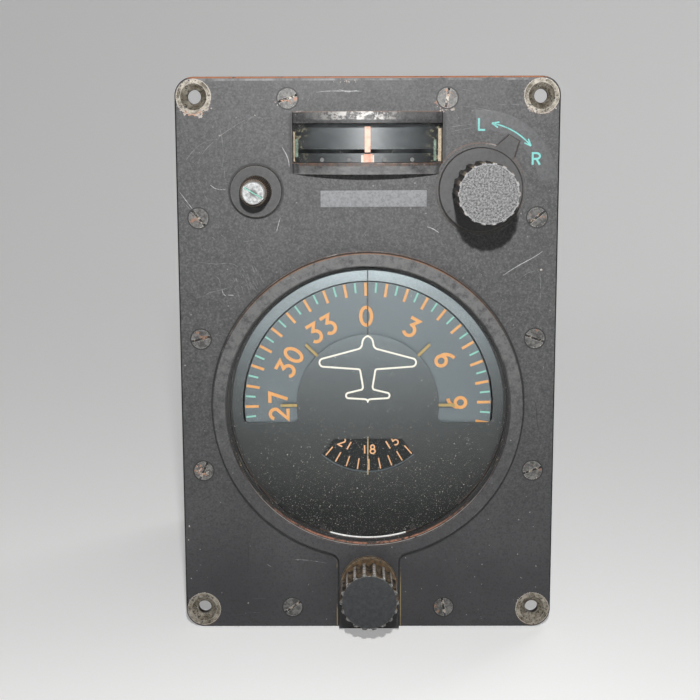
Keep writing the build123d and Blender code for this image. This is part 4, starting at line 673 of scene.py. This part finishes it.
def dusty_glass():
    """Clear glass under a satin film that thickens towards its top as a painted sheen, with fine specks of dust that
    gather towards its foot.
    """
    m = Finish("dusty_glass")
    _, _, z = m.split()
    low_down = m.span_mm(z, DIAL_Z + 24, DIAL_Z - 48)
    dots = []
    for scale, seed, fewest, most, small, large, weight in ((1800.0, 0.0, 0.92, 0.60, 0.12, 0.30, 0.42),
                                                            (520.0, 4.0, 0.988, 0.96, 0.06, 0.12, 0.7)):
        cells = m.put("ShaderNodeTexVoronoi", {"Vector": m.spot(shift=(seed, 0, 0)), "Scale": scale})
        picks = m.put("ShaderNodeSeparateColor", {0: cells.outputs["Color"]}).outputs
        chosen = m.sums("GREATER_THAN", picks[0], m.span(low_down, 0.0, 1.0, fewest, most))
        size = m.span(picks[1], 0, 1, small, large)
        dots.append(m.product(m.sums("LESS_THAN", cells.outputs["Distance"], size), chosen,
                              m.span(picks[2], 0, 1, 0.4 * weight, weight)))
    dots = m.highest(*dots)
    # Painted sheen: the film thickens towards the top.
    painted_sheen_rise = m.sums("POWER", m.span_mm(z, DIAL_Z - 38, DIAL_Z + 48), 1.45)
    film = m.product(m.sums("MULTIPLY_ADD", painted_sheen_rise, 0.016, 0.002),
                     m.span(m.noise(60.0, 5.0, 0.7), 0.35, 0.75, 0.88, 1.12))
    dusty = m.span(dots, 0.0, 0.15)
    return m.finished({"Alpha": m.highest(dots, film),
                       "Base Color": m.mixed(dusty, (0.76, 0.82, 0.83), (0.80, 0.77, 0.68)),
                       "Metallic": m.sums("SUBTRACT", 1.0, dusty), "Roughness": 0.447})


def clear_window():
    """Curved clear window with faint scuffs."""
    m = Finish("clear_window")
    scuffs = m.span(m.noise(160.0, 5.0, 0.7), 0.45, 0.75, 0.008, 0.05)
    return m.finished({"Alpha": scuffs, "Base Color": (0.62, 0.66, 0.68, 1), "Roughness": 0.24})


def worn_knob(name, centre, count, front_mm, groove, side, land, face_dark, face_light, rim, grain=2100.0,
              bare=(0.36, 0.52), behind=12.0, rim_mm=9.3, lands=(0.10, 0.40)):
    """Moulded knob: mottled grooves, lands rubbed bare near the front and, as a painted highlight, more towards the
    top, a grainy front face with a paler rim.

    The lands are where cos(count * angle round the knob's axis) is near 1.
    """
    m = Finish(name)
    x, y, z = m.split()
    fine = m.noise(900.0, 5.0, 0.75)
    coarse = m.noise(330.0, 4.0, 0.65)
    grains = m.noise(grain, 6.0, 0.85)
    turn = m.sums("ARCTAN2", m.sums("SUBTRACT", z, centre[1] * MM), m.sums("SUBTRACT", x, centre[0] * MM))
    crest = m.sums("COSINE", m.product(turn, float(count)))
    m.base = m.mixed(m.span(coarse, 0.42, 0.62), groove, side)
    # Lands bare near the front: wear, and stronger towards the top as a painted highlight.
    rubbed = m.product(m.span(crest, *lands), m.span(fine, *bare),
                       m.span_mm(z, centre[1] - 9.0, centre[1] + 4.0, 0.15, 1.0),
                       m.span_mm(y, front_mm + behind, front_mm + 0.4 * behind, 0.0, 1.0))
    m.coat(rubbed, land)
    away = m.distance_to(*centre)
    front = m.sums("LESS_THAN", y, (front_mm + 0.12) * MM)
    face = m.mixed(m.span(grains, 0.42, 0.58), face_dark, face_light)
    edge = m.span(away, rim_mm * MM, (rim_mm + 0.35) * MM)
    face = m.mixed(m.product(edge, m.span(fine, 0.42, 0.56)), face, rim)
    m.coat(front, face)
    return m.finished({"Roughness": m.span(fine, 0.3, 0.7, 0.40, 0.58)}, m.sums("ADD", grains, coarse), 0.35, 0.00012)


def wrinkled_enamel():
    """Black wrinkle enamel of the housing."""
    m = Finish("case_enamel")
    wrinkle = m.put("ShaderNodeTexVoronoi", {"Vector": m.spot(), "Scale": 900.0}, feature="SMOOTH_F1").outputs[0]
    cloud = m.noise(24.0, 4.0, 0.6)
    edge, _ = m.worn_edges(0.6, 0.03, 0.3)
    rubbed = m.product(edge, m.span(m.noise(240.0, 5.0, 0.7), 0.48, 0.60))
    m.base = m.mixed(m.span(cloud, 0.35, 0.7), (0.026, 0.026, 0.027), (0.046, 0.045, 0.044))
    m.coat(rubbed, (0.26, 0.23, 0.20))
    return m.finished({"Roughness": m.span(cloud, 0.3, 0.7, 0.45, 0.60)}, wrinkle, 0.5, 0.0002)


finishes = {
    "enamel": panel_enamel(),
    "case": wrinkled_enamel(),
    "screw": worn_screw(),
    "bushing": bare_bushing(),
    "steel": plain_metal("bright_steel", (0.62, 0.62, 0.62), 0.28),
    "brass": plain_metal("brass", (0.60, 0.42, 0.20), 0.34),
    "aluminium": plain_metal("aluminium", (0.60, 0.61, 0.62), 0.40, grime_share=0.2),
    "copper": plain_metal("copper", (0.66, 0.33, 0.19), 0.36),
    "split_ring": split_ring_metal(),
    "bush_brown": rubbed_enamel("bush_brown", (0.035, 0.026, 0.016), (0.17, 0.105, 0.050), (0.55, 0.50, 0.42), 0.30,
                                0.40),
    "fitting": rubbed_enamel("fitting_enamel", (0.034, 0.034, 0.035), (0.066, 0.066, 0.065), (0.42, 0.37, 0.31), 0.30),
    "pointer_plate": rubbed_enamel("pointer_plate_enamel", (0.036, 0.036, 0.037), (0.062, 0.062, 0.061),
                                   (0.16, 0.085, 0.045)),
    "cap": cap_metal(),
    "rubber": printed_plate("seal_rubber", (0.020, 0.020, 0.020), (0.035, 0.035, 0.034), 0.7),
    "card": card_lacquer(),
    "mask": mask_lacquer(),
    "scale": scale_lacquer(),
    "ochre": mark_paint("index_ochre", (0.40, 0.29, 0.10), (0.26, 0.20, 0.08)),
    "wire": wire_paint(),
    "orange": mark_paint("dial_orange", (0.68, 0.33, 0.100), (0.62, 0.29, 0.090)),
    "mint": mark_paint("dial_mint", (0.22, 0.52, 0.42), (0.18, 0.42, 0.34)),
    "cream": mark_paint("dial_cream", (0.72, 0.40, 0.19), (0.62, 0.33, 0.15)),
    "white": mark_paint("outline_white", (0.80, 0.77, 0.67), (0.70, 0.67, 0.58)),
    "turquoise": broken_paint("panel_turquoise", (0.19, 0.58, 0.54), (0.10, 0.27, 0.26), 500.0, 0.32, 0.48),
    "pointer": broken_paint("pointer_salmon", (0.84, 0.30, 0.17), (0.88, 0.60, 0.46), 420.0, 0.40, 0.60),
    "glass": dusty_glass(),
    "window": clear_window(),
    "trim_knob": worn_knob("trim_knob_worn", TRIM, 18, TRIM_FRONT, (0.008, 0.007, 0.007), (0.050, 0.036, 0.025),
                           (0.40, 0.30, 0.21), (0.010, 0.010, 0.011), (0.28, 0.28, 0.28), (0.38, 0.38, 0.38), 1500.0,
                           (0.34, 0.48)),
    "caging_knob": worn_knob("caging_knob_worn", CAGING, 18, CAGING_FRONT, (0.014, 0.010, 0.006), (0.26, 0.19, 0.12),
                             (0.66, 0.64, 0.62), (0.008, 0.009, 0.011), (0.022, 0.024, 0.026), (0.17, 0.17, 0.16),
                             600.0, (0.40, 0.52), 16.0, 9.3, (0.55, 0.85)),
    "adjuster_knob": worn_knob("adjuster_knob_worn", ADJUSTER, 48, -60.0, (0.004, 0.004, 0.004), (0.014, 0.011, 0.008),
                               (0.21, 0.13, 0.075), (0.1, 0.1, 0.1), (0.2, 0.2, 0.2), (0.2, 0.2, 0.2), 900.0,
                               (0.34, 0.50), 90.0),
    "label": broken_paint("label_grey", (0.225, 0.232, 0.240), (0.130, 0.134, 0.140), 1300.0, 0.35, 0.60, 0.46),
    "film": broken_paint("clear_film", (0.098, 0.099, 0.103), (0.050, 0.050, 0.052), 1100.0, 0.35, 0.65, 0.44),
    "scratch": broken_paint("scratched_enamel", (0.20, 0.20, 0.205), (0.050, 0.050, 0.051), 380.0, 0.40, 0.60),
    "deep_scratch": broken_paint("deep_scratch", (0.44, 0.44, 0.44), (0.14, 0.14, 0.14), 700.0, 0.36, 0.56),
    "crease": broken_paint("dark_crease_and_painted_shade", (0.010, 0.010, 0.010), (0.016, 0.016, 0.016)),
    "chip": broken_paint("bare_chip", (0.46, 0.41, 0.37), (0.16, 0.125, 0.10), 1300.0, 0.40, 0.56),
    "orange_chip": broken_paint("primer_chip", (0.46, 0.24, 0.15), (0.22, 0.12, 0.08), 1300.0, 0.40, 0.56),
    "glint": plain_metal("painted_rim_highlight", (0.86, 0.86, 0.84), 0.30, 0.2, (0.6, 0.6, 0.58)),
    "green_bar": broken_paint("window_green", (0.30, 0.42, 0.33), (0.09, 0.11, 0.075), 900.0, 0.36, 0.60),
    "end_highlight_bar": broken_paint("window_end_highlight", (0.72, 0.60, 0.44), (0.46, 0.36, 0.24), 700.0, 0.36, 0.60),
    "insert": printed_plate("insert_black", (0.020, 0.020, 0.020), (0.035, 0.035, 0.035), 0.45),
}

nodes_by_finish = {
    "enamel": "front_panel",
    "bushing": "corner_bushings",
    "screw": "panel_screws rear_screws",
    "glass": "dial_glass",
    "rubber": "glass_gasket housing_gasket",
    "split_ring": "glass_retaining_ring",
    "mask": "mask_plate",
    "ochre": "index_bars",
    "wire": "lubber_wires",
    "window": "window_glass",
    "scale": "window_scale",
    "aluminium": "meter_frame bearing_plate standoffs connector_shell lower_bracket upper_bracket "
                 "outer_gimbal inner_gimbal inner_gimbal_cover",
    "steel": "meter_magnet card_bearings gimbal_bearings lever_pin card_shaft inner_bearings "
             "inner_pivots rotor_bearings rotor_shaft trim_shaft adjuster_shaft caging_shaft "
             "caging_lever caging_pin",
    "insert": "potentiometers connector_insert",
    "fitting": "adjuster_flange",
    "bush_brown": "caging_bushing",
    "case": "housing rear_cover",
    "brass": "connector_pins card_gear card_bevel_gear idler_gear gimbal_bevel_gear gyro_rotor caging_sleeve",
    "card": "azimuth_card",
    "copper": "slip_rings pointer_coil",
    "pointer": "rudder_pointer",
    "trim_knob": "trim_knob",
    "pointer_plate": "trim_skirt trim_pointer_plate",
    "adjuster_knob": "adjuster_knob",
    "cap": "adjuster_cap",
    "caging_knob": "caging_knob",
}
for finish, nodes in nodes_by_finish.items():
    for node in nodes.split():
        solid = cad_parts[node]
        solid.data.materials.clear()
        solid.data.materials.append(finishes[finish])

# Marks printed on the azimuth card
TICK_LIFT = 0.05
all_tens = range(0, 360, 10)
all_fives = range(5, 360, 10)
make_piece("card_ticks_ten", *boxes_round(all_tens, 39.3, 44.1, 0.95, TICK_LIFT, CARD_Y, -CARD_TURN), "card",
           "orange")
make_piece("card_ticks_five", *boxes_round(all_fives, 40.5, 44.1, 0.65, TICK_LIFT, CARD_Y, -CARD_TURN), "card",
           "mint")
numbers = []
inner_numbers = []
for step in range(12):
    angle = step * 30 - CARD_TURN
    radial = math.radians(angle)
    outward = np.array([math.sin(radial), math.cos(radial)])
    middle = outward * 32.0 + (0, DIAL_Z)
    numbers.append(strokes_on(number_strokes(str(step * 3), 7.6, 1.2, TICK_LIFT, 5.9), CARD_Y, middle, angle))
    low = outward * 16.6 + (0, DIAL_Z)
    inner_numbers.append(strokes_on(number_strokes(str(step * 3), 3.6, 0.52, TICK_LIFT, 2.9), CARD_Y, low,
                                    angle + 180))
make_piece("card_numerals", *join(numbers), "card", "orange")
make_piece("card_inner_numerals", *join(inner_numbers), "card", "cream")
make_piece("card_inner_ticks", *boxes_round(all_tens, 20.2, 24.2, 0.45, TICK_LIFT, CARD_Y, -CARD_TURN), "card",
           "cream")


# Aircraft outline on the mask plate
def aircraft_path():
    """Right half of the outline from nose to tail notch, mirrored to the left, corners rounded by arcs."""
    half = path_of((0, 25.15), (0.75, 24.75), (1.46, 24.1), (1.85, 23.2), (2.1, 21.7), (2.35, 21.1), (2.8, 20.65),
                   (3.4, 20.37), (15.9, 17.0), arc(15.8, 15.5, 1.45, 1.5, 72, -84, 12), (3.42, 13.09), (2.95, 12.95),
                   (2.71, 12.6), (1.75, 6.9), (1.78, 6.2), (2.15, 5.65), (6.9, 4.5),
                   arc(6.9, 3.5, 0.9, 1.0, 72, -82, 10), (1.6, 2.2), (0.55, 2.05), (0.2, 1.8), (0, 1.3))
    return np.concatenate([half, (half * (-1, 1))[::-1][1:-1]])


outline = paint_stroke(aircraft_path(), 0.64, 0.06, closed=True)
nose = paint_stroke(path_of((-0.42, 24.93), (0, 25.15), (0.42, 24.93)), 0.64, 0.03)
paint("aircraft_outline", "white", [outline], MASK_Y, (0, DIAL_Z))
paint("outline_nose", "white", [nose], MASK_Y - 0.45, (0, DIAL_Z))

# Trim marks on the panel: a two-headed arc arrow and its side letters, on a thin film
TRIM_ARC = 23.0
arrow = [paint_stroke(arc(0, 0, TRIM_ARC, TRIM_ARC, 90 - 10.5, 90 - 48.5, 18), 0.48, 0.05)]
for angle, side in ((9.7, -1), (49.7, 1)):
    a = math.radians(angle)
    tip = np.array([math.sin(a), math.cos(a)]) * TRIM_ARC
    for spread in (-0.95, 0.95):
        back = math.radians(angle - side * 6.0)
        foot = np.array([math.sin(back), math.cos(back)]) * (TRIM_ARC + spread)
        arrow.append(paint_stroke(path_of(tip, foot), 0.5, 0.05))
paint("trim_arrow", "turquoise", arrow, FACE_Y, TRIM)
film = paint_stroke(arc(0, 0, 24.0, 24.0, 94, 8, 40), 6.6, 0.02)
paint("trim_film", "film", [film], FACE_Y, TRIM)
letters = [
    strokes_on([paint_stroke(path_of((-1.1, 2.0), (-1.1, -2.0), (1.1, -2.0)), 0.7, 0.05)], FACE_Y, (39.6, 82.8)),
    strokes_on([paint_stroke(path_of((-1.2, -2.0), (-1.2, 2.0), arc(0.1, 1.0, 1.2, 1.0, 90, -90, 12), (-1.2, 0.0)),
                             0.7, 0.05), paint_stroke(path_of((0.1, 0.0), (1.3, -2.0)), 0.7, 0.05)],
               FACE_Y, (58.5, 70.8)),
]
make_piece("trim_letters", *join(letters), "frame", "turquoise")


# Bare patch under the indicator window, painted shade along the trim plate's tab, paint in the adjuster's slot, and a
# nick in the trim skirt
paint("label_patch", "label", [paint_stroke(path_of((-16.4, 57.2), (20.6, 57.3)), 5.7, 0.03)], FACE_Y)
TAB_TURN = 33.0
SLOT_ANGLE = -31
NICK_TURN = 236
tab = np.array([(-3.75, 15.6), (-2.15, 21.05), (2.15, 21.05), (3.75, 15.6)])
# Painted shade along the tab's edges.
tab_shade = paint_stroke(tab, (0.3, 0.5, 1.0, 1.0), 0.1)
paint("trim_tab_shade", "crease", [tab_shade], FACE_Y - 0.25, TRIM, TAB_TURN, body="trim_knob")
slot_way = np.array([math.cos(math.radians(SLOT_ANGLE)), math.sin(math.radians(SLOT_ANGLE))])
paint("adjuster_slot_paint", "mint", [paint_stroke(path_of(slot_way * -3.6, slot_way * 3.6), 0.42, 0.3)],
      ADJUSTER_Y + 0.5, ADJUSTER, body="adjuster")
nick = np.array([math.sin(math.radians(NICK_TURN)), math.cos(math.radians(NICK_TURN))])
paint("trim_skirt_nick", "crease", [paint_stroke(path_of(nick * 12.6, nick * 14.3), 0.4, 0.03)], TRIM_SKIRT_Y, TRIM,
      body="trim_knob")

# Rims that close the flutes at the front of the two large knobs
RIM_INNER_R = 8.8
RIM_STEPS = 96


def knob_rim(centre, front_mm, radius):
    """Ring with a rounded outer edge: its section is carried round the knob's axis."""
    v = np.arange(RIM_STEPS) * 2 * np.pi / RIM_STEPS
    r = np.array([RIM_INNER_R, radius - 0.25, radius - 0.07, radius, radius, RIM_INNER_R])[:, None]
    y = front_mm + np.array([0.04, 0.04, 0.11, 0.28, 0.9, 0.9])[:, None]
    points = np.stack([centre[0] + r * np.cos(v), y + 0 * v, centre[1] + r * np.sin(v)], -1)
    return points.reshape(-1, 3), grid_faces(6, RIM_STEPS, True, True)


make_piece("trim_knob_rim", *knob_rim(TRIM, TRIM_FRONT, 9.85), "trim_knob", "trim_knob")
make_piece("caging_knob_rim", *knob_rim(CAGING, CAGING_FRONT, 9.6), "caging_knob", "caging_knob")

# Window of the rudder indicator: the fixed mark's paint with painted highlights at its sides, and green bars and
# painted highlights at the ends of its scale
# Painted highlight: white strips at the fixed mark's sides.
datum = [paint_stroke(path_of((x, DATUM_Z[0]), (x, DATUM_Z[1] - 0.3)), w, 0.05) for x, w in ((-1.8, 0.9), (2.0, 0.5))]
paint("datum_side_highlights", "white", datum, DATUM_Y)
datum = [paint_stroke(path_of((0.2, DATUM_Z[0]), (0.2, DATUM_Z[1])), 3.0, 0.05)]
paint("datum_middle", "pointer", datum, DATUM_Y)
# The cream bars are painted highlights on the scale's end walls; the green bars are paint.
for name, finish, bars in (("scale_end_green", "green_bar", ((-24.8, 1.1, 71.6, 77.8), (23.6, 0.9, 70.2, 77.6))),
                           ("scale_end_highlight", "end_highlight_bar", ((-25.7, 0.4, 70.0, 80.4), (25.3, 1.1, 70.0, 81.4)))):
    strips = []
    for x, width, low, high in bars:
        points, faces = paint_stroke(path_of((x, low), (x, high)), width, 0.05)
        strips.append((on_scale(points[:, :2], points[:, 2]), faces))
    make_piece(name, *join(strips), "frame", finish)

# Painted highlight on the edge of the mask's seat at the foot of the dial
foot_highlight = paint_stroke(arc(0, DIAL_Z, 49.15, 49.15, -106.2, -73.8, 40), 0.55, 0.10)
paint("seat_edge_highlight", "glint", [foot_highlight], MASK_Y)

# Scratches, creases and chips in the panel's enamel
FAINT = (
    ((-59.4, 66.3), (-58.9, 70.2), (-56.7, 73.9), (-53.4, 77.1), (-50.1, 79.8), (-45.9, 82.5), (-42.1, 84.6),
     (-38.9, 85.9)),
    ((-63.3, 70.4), (-61.1, 73.4), (-58.5, 75.9), (-55.2, 77.5), (-52.0, 78.0)),
    ((-53.2, 84.8), (-51.4, 82.6), (-50.6, 79.3), (-50.2, 75.7), (-50.0, 72.0), (-50.5, 68.3)),
    ((-42.1, 83.4), (-40.3, 85.3), (-38.4, 85.5), (-35.6, 84.8), (-33.8, 85.2)),
    ((-37.4, 91.2), (-34.6, 91.8)), ((-38.5, 81.1), (-35.7, 80.2), (-33.6, 79.1)),
    ((-65.5, 57.2), (-63.6, 55.4), (-61.9, 53.5)), ((-57.5, 59.8), (-56.1, 57.2)), ((-49.8, 67.4), (-49.8, 64.6)),
    ((32.7, 88.9), (37.4, 88.4), (42.5, 87.3), (47.1, 85.9), (49.9, 84.5)),
    ((28.2, 81.8), (32.8, 82.4), (37.4, 82.7)), ((28.7, 80.2), (33.3, 81.1), (37.9, 81.8)),
    ((31.3, 94.8), (35.0, 94.3), (36.4, 93.6)), ((44.7, 89.3), (49.8, 89.5), (56.3, 89.5)),
    ((53.6, 29.3), (56.9, 31.4), (60.2, 32.1)), ((60.6, 31.1), (61.0, 25.0), (60.8, 21.6)),
    ((-60.3, 35.3), (-56.5, 34.8), (-52.9, 34.4), (-49.1, 34.9), (-46.4, 34.2), (-45.0, 32.5), (-44.7, 31.6)),
    ((-60.3, 22.5), (-57.6, 23.2), (-55.9, 24.4), (-52.6, 25.1), (-48.5, 26.3)),
    ((-54.3, 30.8), (-52.5, 29.4), (-51.9, 27.5), (-52.1, 26.3)), ((-43.7, 42.2), (-39.9, 42.9)),
    ((-28.2, -73.5), (-25.1, -73.6), (-20.7, -74.1), (-15.0, -75.0)), ((-36.8, -75.4), (-35.3, -76.4)),
    ((-54.7, 44.1), (-53.1, 42.9)), ((-51.4, 44.8), (-49.8, 43.4)),
)
PLAIN = (
    ((-17.7, 93.8), (-13.8, 94.2), (-8.3, 94.2), (-1.3, 94.1)), ((-10.1, 94.9), (-6.9, 93.8), (-3.6, 94.4)),
    ((-54.8, 62.1), (-53.2, 60.9), (-51.4, 60.5), (-49.5, 60.5)), ((-65.6, 59.8), (-64.1, 57.7), (-61.3, 53.9)),
    ((-29.7, 75.2), (-28.3, 72.8), (-27.4, 70.5), (-27.2, 68.2)), ((-30.5, 50.8), (-31.2, 48.5), (-31.9, 45.9)),
    ((20.8, 47.4), (22.9, 46.7), (25.0, 45.3)), ((47.5, 30.2), (52.6, 33.5), (58.7, 36.8), (61.4, 38.7)),
    ((-51.4, 25.4), (-51.0, 23.9), (-50.1, 23.2)), ((-49.4, 23.5), (-47.3, 23.4)),
)
ON_RING = (
    ((1.7, 38.3), (3.6, 36.4), (4.3, 34.5)), ((30.8, 25.3), (33.5, 26.9)),
    ((-28.2, 29.4), (-26.0, 30.4), (-24.6, 28.9)), ((-33.5, 23.8), (-31.6, 22.4)), ((-32.4, 24.6), (-30.6, 23.3)),
)
CREASES = (
    ((59.6, -15.0), (60.2, -17.4), (60.5, -21.3), (61.0, -25.3)), ((-43.7, -65.3), (-43.6, -71.3), (-43.9, -78.0)),
)
HATCH_AT = (-42.6, 28.0)
HATCH_TURN = math.radians(35)
hatch = []
for place in rng.uniform((-5.4, -3.6), (5.4, 3.6), (46, 2)):
    x = HATCH_AT[0] + place[0] * math.cos(HATCH_TURN) - place[1] * math.sin(HATCH_TURN)
    z = HATCH_AT[1] + place[0] * math.sin(HATCH_TURN) + place[1] * math.cos(HATCH_TURN)
    lean = rng.uniform(-0.25, 0.25)
    half = rng.uniform(0.5, 1.5)
    hatch.append(scratch(((x - half * 0.45, z + half), (x + lean, z + lean), (x + half * 0.45, z - half)), 0.16))
paint("faint_scratches", "scratch", [scratch(line, 0.20) for line in FAINT] + hatch, FACE_Y)
paint("plain_scratches", "deep_scratch", [scratch(line, 0.27) for line in PLAIN], FACE_Y)
paint("ring_scratches", "scratch", [scratch(line, 0.22) for line in ON_RING], RING_Y)
seams = [paint_stroke(arc(x, z, r, r, 0, 352, 45), w, 0.05, closed=True)
         for x, z, r, w in [(x, z, 3.66, 0.55) for x, z in SCREWS] + [(*ADJUSTER, 9.5, 0.6)]]
paint("screw_seams", "crease", seams, FACE_Y)
paint("creases", "crease", [scratch(line, 0.24) for line in CREASES], FACE_Y)
chip_fields = (
    (BUSHINGS[0], (6.1, 7.6), (195, 345), 46, 0.50), (BUSHINGS[1], (6.0, 6.6), (220, 320), 20, 0.34),
    (BUSHINGS[1], (6.0, 6.4), (100, 175), 12, 0.26), (BUSHINGS[2], (6.0, 6.4), (85, 200), 14, 0.26),
    (BUSHINGS[3], (6.0, 6.5), (20, 190), 14, 0.26), ((27.6, 91.75), (3.5, 5.1), (212, 325), 34, 0.46),
    ((-27.6, 91.75), (3.4, 5.0), (188, 216), 9, 0.40), ((-27.6, 91.75), (3.3, 4.0), (255, 320), 9, 0.25),
    ((59.2, 50.6), (3.3, 3.9), (235, 320), 12, 0.26), ((-59.2, 50.6), (3.3, 3.8), (225, 320), 10, 0.24),
    ((-59.2, -40.3), (1.2, 4.0), (150, 350), 26, 0.36), ((59.2, 7.75), (3.3, 3.7), (230, 310), 8, 0.22),
    ((59.2, -40.3), (3.3, 3.9), (200, 330), 10, 0.26),
)
spots, sizes = [], []
for centre, radii, angles, count, size in chip_fields:
    spots.append(round_about(centre, radii, angles, count))
    sizes.append(size * rng.uniform(0.3, 1.0, count) ** 1.5)
spots.append(np.stack([rng.uniform(-12, -4, 9), rng.uniform(97.2, 98.3, 9)], 1))
sizes.append(rng.uniform(0.1, 0.3, 9))
spots.append(np.array([(-64.9, -61.0), (-65.3, -66.2), (-64.6, -80.8), (-38.9, 86.0), (-51.3, 79.2), (61.0, 32.2)]))
sizes.append(np.array([0.32, 0.24, 0.22, 0.2, 0.28, 0.4]))
make_piece("bare_chips", *flakes(np.concatenate(spots), np.concatenate(sizes), FACE_Y), "frame", "chip")
primer_fields = (
    (SCREWS[1], (3.9, 4.6), (196, 210), 4), (SCREWS[6], (1.0, 3.4), (120, 300), 9),
    (BUSHINGS[0], (5.6, 6.6), (215, 300), 12), (SCREWS[0], (0.8, 2.4), (200, 330), 5),
)
spots = np.concatenate([round_about(*field) for field in primer_fields])
make_piece("primer_chips", *flakes(spots, rng.uniform(0.16, 0.42, len(spots)), FACE_Y), "frame", "orange_chip")


# Camera, light and floor
FLOOR_Z = -0.0995
FLOOR_GLOW = 0.36
GLOSSY_SHARE = 0.3
SKY_SEEN = 0.34
SKY_LIGHT = 0.012


def aim_camera():
    """Camera solved from the photograph: its place, then its pitch, yaw and roll as three axes."""
    pitch, yaw, roll = math.radians(9.356), math.radians(-0.380), math.radians(-0.187)
    forward = Vector((math.sin(yaw) * math.cos(pitch), math.cos(yaw) * math.cos(pitch), -math.sin(pitch)))
    right = Vector((math.cos(yaw), -math.sin(yaw), 0))
    up = right.cross(forward)
    across = right * math.cos(roll) + up * math.sin(roll)
    upright = up * math.cos(roll) - right * math.sin(roll)
    data = bpy.data.cameras.new("camera")
    data.lens, data.sensor_width = 69.9, 36.0
    data.clip_start, data.clip_end = 0.01, 20
    camera = bpy.data.objects.new("camera", data)
    turned = Matrix((across, upright, -forward)).transposed().to_4x4()
    turned.translation = (-0.003149, -0.48150, 0.082255)
    camera.matrix_world = turned
    bpy.context.scene.collection.objects.link(camera)
    bpy.context.scene.camera = camera


def add_lamp(name, place, aim, size, power):
    """Square soft lamp that faces a point."""
    data = bpy.data.lights.new(name, "AREA")
    data.size, data.energy = size, power
    lamp = bpy.data.objects.new(name, data)
    lamp.visible_camera = False
    lamp.location = place
    lamp.rotation_euler = (Vector(aim) - Vector(place)).to_track_quat("-Z", "Y").to_euler()
    bpy.context.scene.collection.objects.link(lamp)


def sweep_floor():
    """Floor that curves up into a backdrop: a profile of flat, quarter arc and wall, drawn out along X."""
    turn = np.radians(np.linspace(0, 90, 24))
    y = np.concatenate([[-2.5, 0.4], 0.9 + 0.7 * np.sin(turn), [1.6]])
    z = np.concatenate([[0.0, 0.0], 0.7 - 0.7 * np.cos(turn), [3.0]])
    x = np.array([-3.0, 3.0])
    points = np.stack([np.repeat(x, len(y)), np.tile(y, 2), np.tile(z, 2) + FLOOR_Z], 1)
    mesh = bpy.data.meshes.new("floor")
    mesh.from_pydata(points.tolist(), [], grid_faces(2, len(y)).tolist())
    floor = bpy.data.objects.new("floor", mesh)
    bpy.context.scene.collection.objects.link(floor)
    mesh.polygons.foreach_set("use_smooth", [True] * len(mesh.polygons))
    m = Finish("pale_floor")
    m.base = (0.72, 0.72, 0.71, 1)
    mesh.materials.append(m.finished({"Roughness": 0.9, "Specular IOR Level": 0.1, "Emission Color": (0.9, 0.9, 0.9, 1),
                                      "Emission Strength": m.product(m.seen_rays(), FLOOR_GLOW)}))


aim_camera()
sweep_floor()
add_lamp("key", (0.005, -0.50, 0.205), (0, 0, 0.0), 0.014, 3.0)
add_lamp("side_fill", (-1.4, -0.9, 0.5), (0, 0, 0), 0.9, 0.12)
add_lamp("low_fill", (0.0, -0.16, -0.088), (0, 0, -0.06), 0.10, 0.05)
add_lamp("back_fill", (0.8, 1.6, 1.2), (0, 0.05, 0), 1.2, 18.0)
world = bpy.data.worlds.new("studio")
world.use_nodes = True
sky = world.node_tree.nodes["Background"]
sky.inputs[0].default_value = (0.9, 0.93, 1.0, 1)
backdrop = Nodes(world.node_tree)
backdrop.feed(sky, {1: backdrop.sums("MULTIPLY_ADD", backdrop.seen_rays(), SKY_SEEN, SKY_LIGHT)})
bpy.context.scene.world = world
bpy.context.scene.view_settings.view_transform = "Standard"
